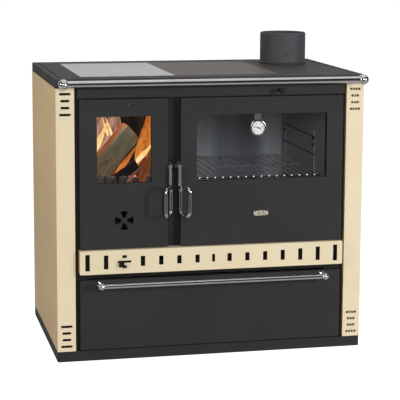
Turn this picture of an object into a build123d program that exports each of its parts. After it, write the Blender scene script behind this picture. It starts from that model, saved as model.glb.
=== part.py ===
from build123d import *
import os
from math import cos, radians, sin

os.makedirs("parts", exist_ok=True)

# Wood cookstove, in millimetres. The origin is the floor under the middle of the body,
# +X is to the viewer's right, the doors face -Y and +Z is up.

# Body
width = 950
depth = 600
worktop_height = 855
base_height = 32
base_corner, base_lip = 6, 25
top_thickness = 28
post_width = 55
sheet = 2
plate = 3
side = width / 2
front = -depth / 2
back = depth / 2
top_underside = worktop_height - top_thickness

# Face frame behind the doors
frame_face = -284
frame_back = -270
stile_outer = 419.5
fire_mouth_left, fire_mouth_right = -382, -164
oven_mouth_left, oven_mouth_right = -62, 362
mouth_bottom, mouth_top = 356, 772
deck_height = 252

# Doors, both folded pans of one depth
door_front = -306
door_depth = 16
door_back = door_front + door_depth
door_bottom, door_top = 344, 793
fire_door_left, fire_door_right = -406, -139
oven_door_left, oven_door_right = -100, 408
window_bottom, window_top = 541, 741
fire_window_left, fire_window_right = -354, -189
oven_window_left, oven_window_right = -51, 357
glass_thickness = 4
glass_lap = 9
glass_front = door_front + plate + 0.3
liner_back = -290.5
gasket_back = frame_face - 0.3
gasket_width = 7
hinge_inset = 9
hinge_y = -297
pin_radius = 4
pin_clearance = 0.5

# Door handles, each a lever with a bow grip below it
lever_pivot_z = 588
lever_shaft_y = -311
lever_thickness = 7
fire_lever_x, oven_lever_x = -134, -105
lever_width = 8
bow_bottom, bow_top = 442, 528
bow_radius = 5.5
bow_corner = 14
bow_base_y = -326
bow_sideways, bow_forward = 22, 33
shaft_radius = 4
shaft_clearance = 0.5
lug_front, lug_back = -303, -299
lug_reach, lug_half_height = 7, 14
latch_front, latch_back, latch_reach, latch_half = -298.4, -294.4, 10, 5

# Air rosette in the fire door
rosette_x, rosette_z = -273, 428
petal_inner, petal_outer = 9, 29
petal_half_angle = 26
disc_radius = 38
disc_hole_half_angle = 18
disc_tab_angle = 22
disc_front, disc_back = -302.7, -301.2

# Vent strip under the doors
strip_front = -318
strip_half = 409
strip_bottom, strip_top = 269, 341
strip_middle = (strip_bottom + strip_top) / 2
slot_width = 13.5
slot_first, slot_pitch, slot_count = 50, 56, 7
slot_short, slot_growth = 24.8, 0.7
lever_slot_index = 4
lever_slot_length, lever_slot_height = 41, 7
lever_travel = 22
lever_gap_pitch, lever_gap_height = 31, 9
middle_slot_width = 9
strip_corner = 3

# Drawer
drawer_half = 407
drawer_bottom, drawer_top = 35, 249
tub_half = 355
tub_back = 200
tub_bottom, tub_top = 52, 212
tub_sheet = 1.5

# Chrome rail and drawer bar
rail_y = -345
rail_z, rail_radius, rail_ball_radius, rail_half = 843, 10, 15.5, 458
bar_z, bar_radius, bar_ball_radius, bar_half = 237, 7, 11, 347
ball_flat, ring_radius, ring_thickness = 2, 9, 4
rail_post_radius, bar_post_radius = 6, 5

# Worktop
plate_thickness = 8
ledge = 12
seam = 0.5
hob_front, hob_back = -240, 222
hob_left, hob_right = -392.5, 446.5
first_seam, second_seam = -102.5, 224.5
notch_radius = 6
side_vent_x = 458
side_vent_count, side_vent_pitch = 8, 68
side_vent_length, side_vent_width = 40, 7
top_wall, top_corner, top_round = 6, 5, 2.5

# Flue
flue_x, flue_y = 340, 140
flue_radius = 75
flue_wall = 4
flue_top = 958
flue_foot, flue_ring = 6, 4

# Firebox and oven
casing_x = 430
casing_back = 263
brick_thickness = 30
brick_bottom, brick_top = 492, 742
brick_front, brick_back = -262, 188
grate_bottom, grate_top = 480, 492
oven_outer_left, oven_outer_right = -64, 364
oven_outer_bottom, oven_outer_top = 426, 774
oven_back = 218
divider_x = -133
firebox_top = 774
shelf_z = 540
wire_radius = 2


def front_plane(y, x=0, z=0):
    """A vertical plane seen from the front: X to the right, Z up, extruding towards -Y."""
    return Plane((x, y, z), x_dir=(1, 0, 0), z_dir=(0, -1, 0))


def rectangle_between(low, high, mode=Mode.ADD):
    """A rectangle from its lower left corner to its upper right one."""
    with Locations(((low[0] + high[0]) / 2, (low[1] + high[1]) / 2)):
        Rectangle(high[0] - low[0], high[1] - low[1], mode=mode)


def grown(low, high, margin):
    """The corners of a rectangle that is larger by the margin all round."""
    return (low[0] - margin, low[1] - margin), (high[0] + margin, high[1] + margin)


def slab(x_span, y_span, z_span, mode=Mode.ADD):
    """A rectangular block from its X, Y and Z spans."""
    centre = [(low + high) / 2 for low, high in (x_span, y_span, z_span)]
    with Locations(tuple(centre)):
        Box(x_span[1] - x_span[0], y_span[1] - y_span[0], z_span[1] - z_span[0], mode=mode)


def folded_face(points, thickness, inside=Side.LEFT):
    """The section of a bent sheet, whose outer line runs through the points."""
    with BuildLine() as outline:
        Polyline(*points)
        offset(amount=thickness, side=inside, kind=Kind.INTERSECTION)
    make_face(outline.edges())


def petal(middle_angle, half_angle, inner, outer, mode=Mode.ADD):
    """One wedge of a rosette, as a ring sector about the sketch's origin."""
    corners = []
    for side_angle, first, last in ((-half_angle, inner, outer), (half_angle, outer, inner)):
        turn = radians(middle_angle + side_angle)
        corners.append((first * cos(turn), first * sin(turn)))
        corners.append((last * cos(turn), last * sin(turn)))
    tip = (outer * cos(radians(middle_angle)), outer * sin(radians(middle_angle)))
    with BuildLine() as outline:
        Line(corners[0], corners[1])
        ThreePointArc(corners[1], tip, corners[2])
        Line(corners[2], corners[3])
        Line(corners[3], corners[0])
    make_face(outline.edges(), mode=mode)


def save(part, name):
    part.label = name
    export_step(part, f"parts/{name}.step")


# Base: an upturned pan with a folded lip that stands on the floor

with BuildPart() as base_plinth:
    with BuildSketch():
        Rectangle(width, depth)
    extrude(amount=base_height)
    fillet(base_plinth.edges().filter_by(Axis.Z), base_corner)
    offset(amount=-plate, openings=base_plinth.faces().sort_by(Axis.Z)[0])
    with BuildSketch():
        Rectangle(width - plate, depth - plate)
        Rectangle(width - 2 * base_lip, depth - 2 * base_lip, mode=Mode.SUBTRACT)
    extrude(amount=plate)
save(base_plinth.part, "base_plinth")

# Side panels: one sheet folded into the side, the front post and a rear return

post_slot_rows = [810.5, 790, 769.5, 749, 109, 88.5, 68, 47.5]
post_slot_wide, post_slot_narrow, post_slot_height = 35, 27, 7.5
post_middle = side - post_width / 2
side_slot_y, side_slot_z = (-118, 118), (108, 751)
side_slot_width, side_slot_length, side_slot_pitch, side_slot_drop = 4, 90, 50, 6
rear_return = 35


def post_slot_width(row):
    return post_slot_narrow if row % 4 in (1, 2) else post_slot_wide


def side_slot_group(middle_y, middle_z):
    """Five upright vent slots, the middle one the longest."""
    for index in range(-2, 3):
        with Locations((middle_y + index * side_slot_pitch, middle_z)):
            Rectangle(side_slot_width, side_slot_length - side_slot_drop * index**2)


def side_panel(hand):
    """hand is -1 for the left panel and 1 for the right one."""
    fold = [(hand * (side - rear_return), back), (hand * side, back), (hand * side, front)]
    fold += [(hand * (side - post_width), front), (hand * (side - post_width), frame_face - 1)]
    with BuildPart() as panel:
        with BuildSketch(Plane.XY.offset(base_height)):
            folded_face(fold, sheet, Side.RIGHT if hand > 0 else Side.LEFT)
        extrude(amount=top_underside - base_height)
        with BuildSketch(front_plane(front + sheet)):
            for row, height in enumerate(post_slot_rows):
                with Locations((hand * post_middle, height)):
                    SlotOverall(post_slot_width(row), post_slot_height)
        extrude(amount=2 * sheet, mode=Mode.SUBTRACT)
        with BuildSketch(Plane.YZ.offset(hand * side)) as side_slots:
            for middle_y in side_slot_y:
                for middle_z in side_slot_z:
                    side_slot_group(middle_y, middle_z)
        extrude(side_slots.sketch, amount=sheet + 1, both=True, mode=Mode.SUBTRACT)
    return panel.part


save(side_panel(-1), "side_panel_left")
save(side_panel(1), "side_panel_right")

# Perforated plates behind the post slots, four square holes to a wide slot and three to a narrow one

liner_width, liner_height, liner_thickness = 46, 84, 1
liner_hole, liner_pitch = 5.5, 8.5
liner_front = front + sheet
with BuildPart() as vent_liners:
    for hand in (-1, 1):
        for first_row in (0, 4):
            middle = sum(post_slot_rows[first_row : first_row + 4]) / 4
            with BuildSketch(front_plane(liner_front + liner_thickness)):
                with Locations((hand * (post_middle + 1), middle)):
                    Rectangle(liner_width, liner_height)
                for row in range(first_row, first_row + 4):
                    holes = 3 if row % 4 in (1, 2) else 4
                    with Locations((hand * post_middle, post_slot_rows[row])):
                        with GridLocations(liner_pitch, 1, holes, 1):
                            Rectangle(liner_hole, liner_hole, mode=Mode.SUBTRACT)
            extrude(amount=liner_thickness)
save(vent_liners.part, "vent_liners")

# Back panel: a folded sheet with two rows of vent slots, held by pan head screws

back_panel_face = back - 3
back_half = side - rear_return - sheet
back_flange, back_slot_rows = 14, (110, 140, 720, 750)
back_slot_length, back_slot_height, back_slot_pitch, back_slot_count = 80, 7, 110, 7
with BuildPart() as back_panel:
    with BuildSketch(Plane.XY.offset(base_height + 1)):
        flange = [(-back_half, back_panel_face - back_flange), (-back_half, back_panel_face)]
        flange += [(back_half, back_panel_face), (back_half, back_panel_face - back_flange)]
        folded_face(flange, sheet, Side.RIGHT)
    extrude(amount=top_underside - base_height - 2)
    with BuildSketch(front_plane(back)):
        for height in back_slot_rows:
            with Locations((0, height)):
                with GridLocations(back_slot_pitch, 1, back_slot_count, 1):
                    SlotOverall(back_slot_length, back_slot_height)
    extrude(amount=3 * sheet, mode=Mode.SUBTRACT)
save(back_panel.part, "back_panel")

# Face frame: folded channels that the doors close against


def stile(left, right, bottom, top):
    with BuildPart() as upright:
        with BuildSketch(Plane.XY.offset(bottom)):
            channel = [(left, frame_back), (left, frame_face), (right, frame_face), (right, frame_back)]
            folded_face(channel, plate, Side.LEFT)
        extrude(amount=top - bottom)
    return upright.part


save(stile(-stile_outer, fire_mouth_left, base_height, top_underside), "left_stile")
save(stile(oven_mouth_right, stile_outer, base_height, top_underside), "right_stile")
save(stile(fire_mouth_right, oven_mouth_left, mouth_bottom, mouth_top), "centre_post")

damper_x, damper_z = 205, 812
rod_radius, rod_hole_radius = 4, 6


def cross_rail(bottom, top):
    """A channel along X between the stiles, open to the back."""
    with BuildPart() as rail:
        with BuildSketch(Plane.YZ.offset(fire_mouth_left)):
            channel = [(frame_back, top), (frame_face, top), (frame_face, bottom), (frame_back, bottom)]
            folded_face(channel, plate, Side.LEFT)
        extrude(amount=oven_mouth_right - fire_mouth_left)
    return rail.part


with BuildPart() as head_rail:
    add(cross_rail(mouth_top, top_underside))
    with BuildSketch(front_plane(frame_back)):
        with Locations((damper_x, damper_z)):
            Circle(rod_hole_radius)
    extrude(amount=frame_back - frame_face + 1, mode=Mode.SUBTRACT)
save(head_rail.part, "head_rail")

air_port_width, air_port_height = 70, 14
air_ports = [(port_x, strip_middle) for port_x in (rosette_x, rosette_x + 100, 0)]
with BuildPart() as mid_rail:
    add(cross_rail(deck_height, mouth_bottom))
    with BuildSketch(front_plane(frame_back)):
        with Locations(*air_ports):
            SlotOverall(air_port_width, air_port_height)
    extrude(amount=frame_back - frame_face + 1, mode=Mode.SUBTRACT)
save(mid_rail.part, "mid_rail")

# Fascia between the doors and the worktop

fascia_front, fascia_half, fascia_bottom, fascia_top = -302, 412, 797, 825.5
with BuildPart() as fascia:
    with BuildSketch(Plane.YZ.offset(-fascia_half)):
        channel = [(frame_face, fascia_top), (fascia_front, fascia_top)]
        channel += [(fascia_front, fascia_bottom), (frame_face, fascia_bottom)]
        folded_face(channel, sheet, Side.LEFT)
    extrude(amount=2 * fascia_half)
    with BuildSketch(front_plane(frame_face)):
        with Locations((damper_x, damper_z)):
            Circle(rod_hole_radius)
    extrude(amount=frame_face - fascia_front, mode=Mode.SUBTRACT)
save(fascia.part, "fascia")

# Vent strip: a shallow pan whose slots grow from the middle to both ends


def slot_height(index):
    return slot_short + slot_growth * index**2


lever_slot_x = -slot_first - slot_pitch * lever_slot_index
with BuildPart() as vent_strip:
    with BuildSketch(front_plane(frame_face)):
        rectangle_between((-strip_half, strip_bottom), (strip_half, strip_top))
    extrude(amount=frame_face - strip_front)
    fillet(vent_strip.edges().filter_by(Axis.Y), strip_corner)
    offset(amount=-sheet, openings=vent_strip.faces().sort_by(Axis.Y)[-1])
    with BuildSketch(front_plane(strip_front + sheet)):
        with Locations((0, strip_middle)):
            Rectangle(middle_slot_width, slot_short - 1)
        for index in range(slot_count):
            reach = slot_first + slot_pitch * index
            places = [(reach, strip_middle)]
            if index != lever_slot_index:
                places.append((-reach, strip_middle))
            with Locations(*places):
                Rectangle(slot_width, slot_height(index))
        with Locations((lever_slot_x, strip_middle)):
            Rectangle(lever_slot_length, lever_slot_height)
            with GridLocations(1, lever_gap_pitch, 1, 2):
                Rectangle(slot_width, lever_gap_height)
    extrude(amount=2 * sheet, mode=Mode.SUBTRACT)
save(vent_strip.part, "vent_strip")

# Inner casing: side walls, back wall and the deck over the drawer

with BuildPart() as casing_walls:
    for hand in (-1, 1):
        wall = sorted((hand * casing_x, hand * (casing_x + sheet)))
        slab(wall, (frame_back + 0.5, casing_back), (base_height + 0.5, top_underside))
    slab((-casing_x, casing_x), (casing_back - sheet, casing_back), (base_height + 0.5, top_underside))
save(casing_walls.part, "casing_walls")

with BuildPart() as casing_deck:
    slab((-casing_x, casing_x), (frame_back, casing_back - sheet), (deck_height, deck_height + plate))
save(casing_deck.part, "casing_deck")

# Firebox: divider, bricks on three sides, grate on its frame, ash pan on its shelf

with BuildPart() as firebox_divider:
    divider_height = (deck_height + plate, firebox_top)
    slab((divider_x, divider_x + plate), (frame_back, casing_back - sheet), divider_height)
save(firebox_divider.part, "firebox_divider")

brick_left_face = -casing_x + brick_thickness + 0.5
brick_right_face = divider_x - 0.5 - brick_thickness
brick_chamfer = 3


def brick_spans(low, high, count):
    """Equal spans for bricks that stand side by side, with a thin joint between them."""
    step = (high - low) / count
    return [(low + index * step + 0.3, low + (index + 1) * step - 0.3) for index in range(count)]


left_span = (brick_left_face - brick_thickness, brick_left_face)
right_span = (brick_right_face, brick_right_face + brick_thickness)
rear_span = (brick_back + 0.5, brick_back + 0.5 + brick_thickness)
with BuildPart() as side_firebricks:
    for wall_span in (left_span, right_span):
        for brick_span in brick_spans(brick_front, brick_back, 3):
            slab(wall_span, brick_span, (brick_bottom, brick_top))
    chamfer(side_firebricks.edges().filter_by(Axis.Z), brick_chamfer)
save(side_firebricks.part, "side_firebricks")

with BuildPart() as rear_firebricks:
    for brick_span in brick_spans(left_span[0], right_span[1], 2):
        slab(brick_span, rear_span, (brick_bottom, brick_top))
    chamfer(rear_firebricks.edges().filter_by(Axis.Z), brick_chamfer)
save(rear_firebricks.part, "rear_firebricks")

grate_left, grate_right, grate_front, grate_rear = -392, -170, -240, 150
grate_slot_length, grate_slot_width, grate_column, grate_row = 88, 14, 104, 33
with BuildPart() as grate:
    slab((grate_left, grate_right), (grate_front, grate_rear), (grate_bottom, grate_top))
    fillet(grate.edges().filter_by(Axis.Z), 8)
    with BuildSketch(Plane.XY.offset(grate_bottom)):
        with Locations(((grate_left + grate_right) / 2, (grate_front + grate_rear) / 2)):
            with GridLocations(grate_column, grate_row, 2, 11):
                SlotOverall(grate_slot_length, grate_slot_width)
    extrude(amount=grate_top - grate_bottom, mode=Mode.SUBTRACT)
save(grate.part, "grate")

frame_thickness, grate_rest = 10, 12
with BuildPart() as grate_frame:
    with BuildSketch(Plane.XY.offset(grate_bottom - frame_thickness)):
        rectangle_between((-casing_x, frame_back + 1), (divider_x, casing_back - sheet))
        low, high = grown((grate_left, grate_front), (grate_right, grate_rear), -grate_rest)
        rectangle_between(low, high, mode=Mode.SUBTRACT)
    extrude(amount=grate_top - grate_bottom + frame_thickness)
    with BuildSketch(Plane.XY.offset(grate_bottom)):
        low, high = grown((grate_left, grate_front), (grate_right, grate_rear), 1)
        rectangle_between(low, high)
    extrude(amount=grate_top - grate_bottom, mode=Mode.SUBTRACT)
save(grate_frame.part, "grate_frame")

ash_shelf_top = 360
with BuildPart() as ash_shelf:
    slab((-casing_x, divider_x), (frame_back, casing_back - sheet), (ash_shelf_top - plate, ash_shelf_top))
save(ash_shelf.part, "ash_shelf")

ash_left, ash_right, ash_front, ash_rear, ash_top = -376, -172, -262, 140, 436
ash_grip_z, ash_grip_width, ash_grip_reach, ash_grip_thickness = 404, 90, 14, 4
with BuildPart() as ash_pan:
    slab((ash_left, ash_right), (ash_front, ash_rear), (ash_shelf_top, ash_top))
    fillet(ash_pan.edges().filter_by(Axis.Z), 10)
    offset(amount=-sheet, openings=ash_pan.faces().sort_by(Axis.Z)[-1])
    with BuildSketch(Plane.XY.offset(ash_grip_z)):
        with Locations(((ash_left + ash_right) / 2, ash_front + 0.5)):
            Trapezoid(ash_grip_width, ash_grip_reach, 60, rotation=180, align=(Align.CENTER, Align.MIN))
    extrude(amount=ash_grip_thickness)
save(ash_pan.part, "ash_pan")

# Oven: open fronted box, wire side racks and a wire shelf

with BuildPart() as oven_box:
    oven_width_span = (oven_outer_left, oven_outer_right)
    slab(oven_width_span, (frame_back + 0.2, oven_back), (oven_outer_bottom, oven_outer_top))
    fillet(oven_box.edges().filter_by(Axis.Y), 12)
    offset(amount=-sheet, openings=oven_box.faces().sort_by(Axis.Y)[0])
save(oven_box.part, "oven_box")

rack_levels = [480, 536, 592, 648]
rack_front, rack_rear, rack_margin = -188, 176, 20
with BuildPart() as oven_racks:
    for wall_x, hand in ((oven_outer_left + sheet, 1), (oven_outer_right - sheet, -1)):
        upright_x = wall_x + hand * (wire_radius + 1)
        runner_x = upright_x + hand * 2.5
        with BuildSketch(Plane.XY.offset(rack_levels[0] - rack_margin)):
            with Locations((upright_x, rack_front + rack_margin), (upright_x, rack_rear - rack_margin)):
                RegularPolygon(wire_radius, 8)
        extrude(amount=rack_levels[-1] - rack_levels[0] + 2 * rack_margin)
        with BuildSketch(front_plane(rack_rear)):
            for level in rack_levels:
                with Locations((runner_x, level)):
                    RegularPolygon(wire_radius, 8)
        extrude(amount=rack_rear - rack_front)
save(oven_racks.part, "oven_racks")

shelf_left, shelf_right, shelf_front, shelf_rear = -51, 351, -262, 188
rod_first, rod_pitch, rod_count, rod_wire = -32, 24.35, 16, 1.75
rod_middle = rod_first + rod_pitch * (rod_count - 1) / 2
with BuildPart() as oven_shelf:
    with BuildSketch(front_plane(shelf_rear)):
        with Locations((rod_middle, shelf_z + 2.5)):
            with GridLocations(rod_pitch, 1, rod_count, 1):
                RegularPolygon(rod_wire, 8)
        with Locations((shelf_left, shelf_z + 1), (shelf_right, shelf_z + 1)):
            RegularPolygon(wire_radius, 8)
    extrude(amount=shelf_rear - shelf_front)
    with BuildSketch(Plane.YZ.offset(shelf_left)):
        for cross_y in (shelf_front + 3, (shelf_front + shelf_rear) / 2, shelf_rear - 3):
            with Locations((cross_y, shelf_z)):
                RegularPolygon(wire_radius, 8)
    extrude(amount=shelf_right - shelf_left)
save(oven_shelf.part, "oven_shelf")

# Smoke passage round the oven: a floor plate under it and a baffle whose port the damper shuts

smoke_floor_top = 386
with BuildPart() as smoke_floor:
    floor_span = (smoke_floor_top - plate, smoke_floor_top)
    slab((divider_x + plate, casing_x), (frame_back, casing_back - sheet), floor_span)
save(smoke_floor.part, "smoke_floor")

ledge_bottom = worktop_height - plate_thickness - 6
baffle_x, port_front, port_rear, port_bottom, port_top = 214, -20, 60, 782, 820
with BuildPart() as smoke_baffle:
    slab((baffle_x, baffle_x + plate), (frame_back, casing_back - sheet), (oven_outer_top, top_underside))
    slab((baffle_x, baffle_x + plate), (port_front, port_rear), (port_bottom, port_top), Mode.SUBTRACT)
save(smoke_baffle.part, "smoke_baffle")

# Worktop: frame with a ledge, three lift-off plates, vent slots along both sides

with BuildPart() as top_frame:
    with BuildSketch(Plane.XY.offset(top_underside)):
        RectangleRounded(width, depth, top_corner)
    extrude(amount=top_thickness)
    fillet(top_frame.faces().sort_by(Axis.Z)[-1].edges(), top_round)
    with BuildSketch(Plane.XY.offset(top_underside)):
        rectangle_between((-side + top_wall, front + top_wall), (side - top_wall, back - top_wall))
    extrude(amount=ledge_bottom - top_underside, mode=Mode.SUBTRACT)
    with BuildSketch(Plane.XY.offset(worktop_height - plate_thickness)):
        rectangle_between((hob_left, hob_front), (hob_right, hob_back))
    extrude(amount=plate_thickness, mode=Mode.SUBTRACT)
    with BuildSketch(Plane.XY.offset(ledge_bottom)):
        hob_middle = (hob_front + hob_back) / 2
        hob_edges = (hob_left, first_seam, second_seam, hob_right)
        for left, right in zip(hob_edges[:-1], hob_edges[1:]):
            rectangle_between((left + ledge, hob_front + ledge), (right - ledge, hob_back - ledge))
    extrude(amount=worktop_height - ledge_bottom, mode=Mode.SUBTRACT)
    with BuildSketch(Plane.XY.offset(ledge_bottom)):
        for hand in (-1, 1):
            with Locations((hand * side_vent_x, 0)):
                with GridLocations(1, side_vent_pitch, 1, side_vent_count):
                    SlotOverall(side_vent_length, side_vent_width, rotation=90)
    extrude(amount=worktop_height - ledge_bottom, mode=Mode.SUBTRACT)
save(top_frame.part, "top_frame")


def hob_plate(left, right, notch_middle, hole_radius=0):
    """A top plate with a lifting notch in its front edge and, if asked, a flue hole."""
    with BuildPart() as lid:
        with BuildSketch(Plane.XY.offset(worktop_height - plate_thickness)):
            rectangle_between((left + seam, hob_front + seam), (right - seam, hob_back - seam))
            with Locations((notch_middle, hob_front + seam)):
                Circle(notch_radius, mode=Mode.SUBTRACT)
            if hole_radius:
                with Locations((flue_x, flue_y)):
                    Circle(hole_radius, mode=Mode.SUBTRACT)
        extrude(amount=plate_thickness)
        chamfer(lid.faces().sort_by(Axis.Z)[-1].outer_wire().edges(), 0.6)
    return lid.part


notch_x = (-259, 20, 300)
save(hob_plate(hob_left, first_seam, notch_x[0]), "hot_plate")
save(hob_plate(first_seam, second_seam, notch_x[1]), "middle_plate")
save(hob_plate(second_seam, hob_right, notch_x[2], flue_radius - flue_wall), "flue_plate")

# Flue collar with a small foot ring and the hole for the screw that holds the pipe

pipe_screw_z, pipe_screw_radius, pipe_screw_turn = 888, 2.75, radians(-6.8)
pipe_screw_way = Vector(sin(pipe_screw_turn), -cos(pipe_screw_turn), 0)
with BuildPart() as flue_collar:
    with BuildSketch(Plane.XZ.offset(-flue_y)):
        with BuildLine():
            Polyline(
                (flue_x + flue_radius - flue_wall - 1, worktop_height + 0.2),
                (flue_x + flue_radius + flue_ring, worktop_height + 0.2),
                (flue_x + flue_radius + flue_ring, worktop_height + flue_foot - 2),
                (flue_x + flue_radius, worktop_height + flue_foot + 2),
                (flue_x + flue_radius, flue_top - 4),
                (flue_x + flue_radius - 1.5, flue_top - 1),
                (flue_x + flue_radius - flue_wall, flue_top),
                (flue_x + flue_radius - flue_wall - 1, flue_top),
                close=True,
            )
        make_face()
    revolve(axis=Axis((flue_x, flue_y, 0), (0, 0, 1)))
    with BuildSketch(Plane((flue_x, flue_y, pipe_screw_z), z_dir=pipe_screw_way)):
        Circle(pipe_screw_radius)
    extrude(amount=flue_radius + 1, mode=Mode.SUBTRACT)
save(flue_collar.part, "flue_collar")

# Fixing screws of the back panel

screw_radius, screw_head, screw_inset = 5, 2.5, 18
low_screws, high_screws = 60, 800
with BuildPart() as fixing_screws:
    with BuildSketch(front_plane(back_panel_face)):
        for height in (low_screws, (low_screws + high_screws) / 2, high_screws):
            with Locations((0, height)):
                with GridLocations(2 * (back_half - screw_inset), 1, 2, 1):
                    Circle(screw_radius)
        with Locations((0, low_screws), (0, high_screws)):
            Circle(screw_radius)
    extrude(amount=-screw_head)
    chamfer(fixing_screws.edges().group_by(Axis.Y)[-1], 1)
save(fixing_screws.part, "fixing_screws")


# Chrome bars: the towel rail and the drawer's bar are one form in two sizes


def bar_with_balls(half, height, radius, ball_radius):
    """A round bar along X with a ball at each end, flattened at the back where its post meets it."""
    with BuildPart() as bar:
        with BuildSketch(Plane.YZ.offset(-half)):
            with Locations((rail_y, height)):
                Circle(radius)
        extrude(amount=2 * half)
        with Locations((-half, rail_y, height), (half, rail_y, height)):
            Sphere(ball_radius)
        split(bisect_by=front_plane(rail_y + ball_radius - ball_flat), keep=Keep.TOP)
    return bar.part


def bar_posts(half, height, ball_radius, face, post_radius):
    """The two posts that carry a bar, each with a ring where it stands on the face."""
    with BuildPart() as posts:
        with BuildSketch(front_plane(face)):
            with Locations((-half, height), (half, height)):
                Circle(post_radius)
        extrude(amount=face - (rail_y + ball_radius - ball_flat))
        with BuildSketch(front_plane(face)):
            with Locations((-half, height), (half, height)):
                Circle(ring_radius)
        extrude(amount=ring_thickness)
    return posts.part


save(bar_with_balls(rail_half, rail_z, rail_radius, rail_ball_radius), "rail")
save(bar_posts(rail_half, rail_z, rail_ball_radius, front, rail_post_radius), "rail_posts")
save(bar_with_balls(bar_half, bar_z, bar_radius, bar_ball_radius), "drawer_bar")
save(bar_posts(bar_half, bar_z, bar_ball_radius, door_front, bar_post_radius), "drawer_bar_posts")

# Doors


def door_panel(left, right, window_left, window_right, hinge_x, lug_x):
    """A folded pan with a window, pin holes in its top and bottom folds and a lug for the handle shaft.

    The lug stands out of the fold that is away from the hinge.
    """
    lug_hand = 1 if lug_x > hinge_x else -1
    free_edge = right if lug_hand > 0 else left
    with BuildPart() as panel:
        with BuildSketch(front_plane(door_back)):
            rectangle_between((left, door_bottom), (right, door_top))
        extrude(amount=door_depth)
        fillet(panel.edges().filter_by(Axis.Y), 4)
        offset(amount=-plate, openings=panel.faces().sort_by(Axis.Y)[-1])
        chamfer(panel.faces().sort_by(Axis.Y)[0].outer_wire().edges(), 0.8)
        with BuildSketch(front_plane(door_front + plate)):
            rectangle_between((window_left, window_bottom), (window_right, window_top))
        extrude(amount=2 * plate, mode=Mode.SUBTRACT)
        with BuildSketch(Plane.XY.offset(door_bottom - 1)):
            with Locations((hinge_x, hinge_y)):
                Circle(pin_radius + pin_clearance)
        extrude(amount=door_top - door_bottom + 2, mode=Mode.SUBTRACT)
        lug_span = sorted((free_edge - lug_hand, lug_x + lug_hand * lug_reach))
        lug_height = (lever_pivot_z - lug_half_height, lever_pivot_z + lug_half_height)
        slab(lug_span, (lug_front, lug_back), lug_height)
        with BuildSketch(front_plane(lug_back)):
            with Locations((lug_x, lever_pivot_z)):
                Circle(shaft_radius + shaft_clearance)
        extrude(amount=lug_back - lug_front, mode=Mode.SUBTRACT)
    return panel.part


fire_hinge_x = fire_door_left + hinge_inset
oven_hinge_x = oven_door_right - hinge_inset
disc_pivot_radius = 3
with BuildPart() as fire_door_panel:
    add(
        door_panel(
            fire_door_left, fire_door_right, fire_window_left, fire_window_right, fire_hinge_x, fire_lever_x
        )
    )
    with BuildSketch(front_plane(door_front + plate, rosette_x, rosette_z)):
        for middle_angle in (0, 90, 180, 270):
            petal(middle_angle, petal_half_angle, petal_inner, petal_outer)
    extrude(amount=2 * plate, mode=Mode.SUBTRACT)
    with BuildSketch(front_plane(disc_back + 1)):
        with Locations((rosette_x, rosette_z)):
            Circle(disc_pivot_radius)
    extrude(amount=disc_back + 1 - door_front - plate)
save(fire_door_panel.part, "fire_door_panel")
oven_panel = door_panel(
    oven_door_left, oven_door_right, oven_window_left, oven_window_right, oven_hinge_x, oven_lever_x
)
save(oven_panel, "oven_door_panel")


def door_glass(window_left, window_right):
    with BuildPart() as pane:
        with BuildSketch(front_plane(glass_front + glass_thickness)):
            low = (window_left - glass_lap, window_bottom - glass_lap)
            rectangle_between(low, (window_right + glass_lap, window_top + glass_lap))
        extrude(amount=glass_thickness)
    return pane.part


save(door_glass(fire_window_left, fire_window_right), "fire_door_glass")
save(door_glass(oven_window_left, oven_window_right), "oven_door_glass")

clip_width, clip_lap, clip_sheet = 22, 6, 1.5


def glass_clips(window_left, window_right):
    """Four bent clips that hold the glass against the back of the door sheet."""
    glass_back = glass_front + glass_thickness
    sheet_back = door_front + plate
    with BuildPart() as clips:
        for clip_x in (window_left + 30, window_right - 30):
            for edge, away in ((window_bottom - glass_lap, -1), (window_top + glass_lap, 1)):
                with BuildSketch(Plane.YZ.offset(clip_x - clip_width / 2)):
                    leg = edge + away * 0.5
                    bend = [(sheet_back, leg + away * 9), (sheet_back, leg), (glass_back, leg)]
                    bend += [(glass_back, edge - away * clip_lap)]
                    folded_face(bend, clip_sheet, Side.LEFT if away > 0 else Side.RIGHT)
                extrude(amount=clip_width)
    return clips.part


save(glass_clips(fire_window_left, fire_window_right), "fire_glass_clips")
save(glass_clips(oven_window_left, oven_window_right), "oven_glass_clips")


def gasket_corners(mouth_left, mouth_right):
    """Lower left and upper right inner corners of the gasket round a mouth."""
    return (mouth_left - 0.5, mouth_bottom - 0.5), (mouth_right + 0.5, mouth_top + 0.5)


def door_liner(mouth_left, mouth_right, window_left, window_right):
    """The inner pan of a door: it closes the pan's back round the window and carries the gasket."""
    low, high = grown(*gasket_corners(mouth_left, mouth_right), gasket_width + 1)
    with BuildPart() as liner:
        with BuildSketch(front_plane(liner_back)):
            rectangle_between(low, high)
        extrude(amount=liner_back - door_front - plate)
        fillet(liner.edges().filter_by(Axis.Y), 4)
        offset(amount=-sheet, openings=liner.faces().sort_by(Axis.Y)[0])
        with BuildSketch(front_plane(liner_back)):
            rectangle_between((window_left, window_bottom), (window_right, window_top))
        extrude(amount=sheet, mode=Mode.SUBTRACT)
    return liner.part


with BuildPart() as fire_door_liner:
    add(door_liner(fire_mouth_left, fire_mouth_right, fire_window_left, fire_window_right))
    with BuildSketch(front_plane(liner_back)):
        with Locations((rosette_x, rosette_z)):
            Circle(disc_radius + 2)
    extrude(amount=sheet, mode=Mode.SUBTRACT)
save(fire_door_liner.part, "fire_door_liner")
save(door_liner(oven_mouth_left, oven_mouth_right, oven_window_left, oven_window_right), "oven_door_liner")


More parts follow.
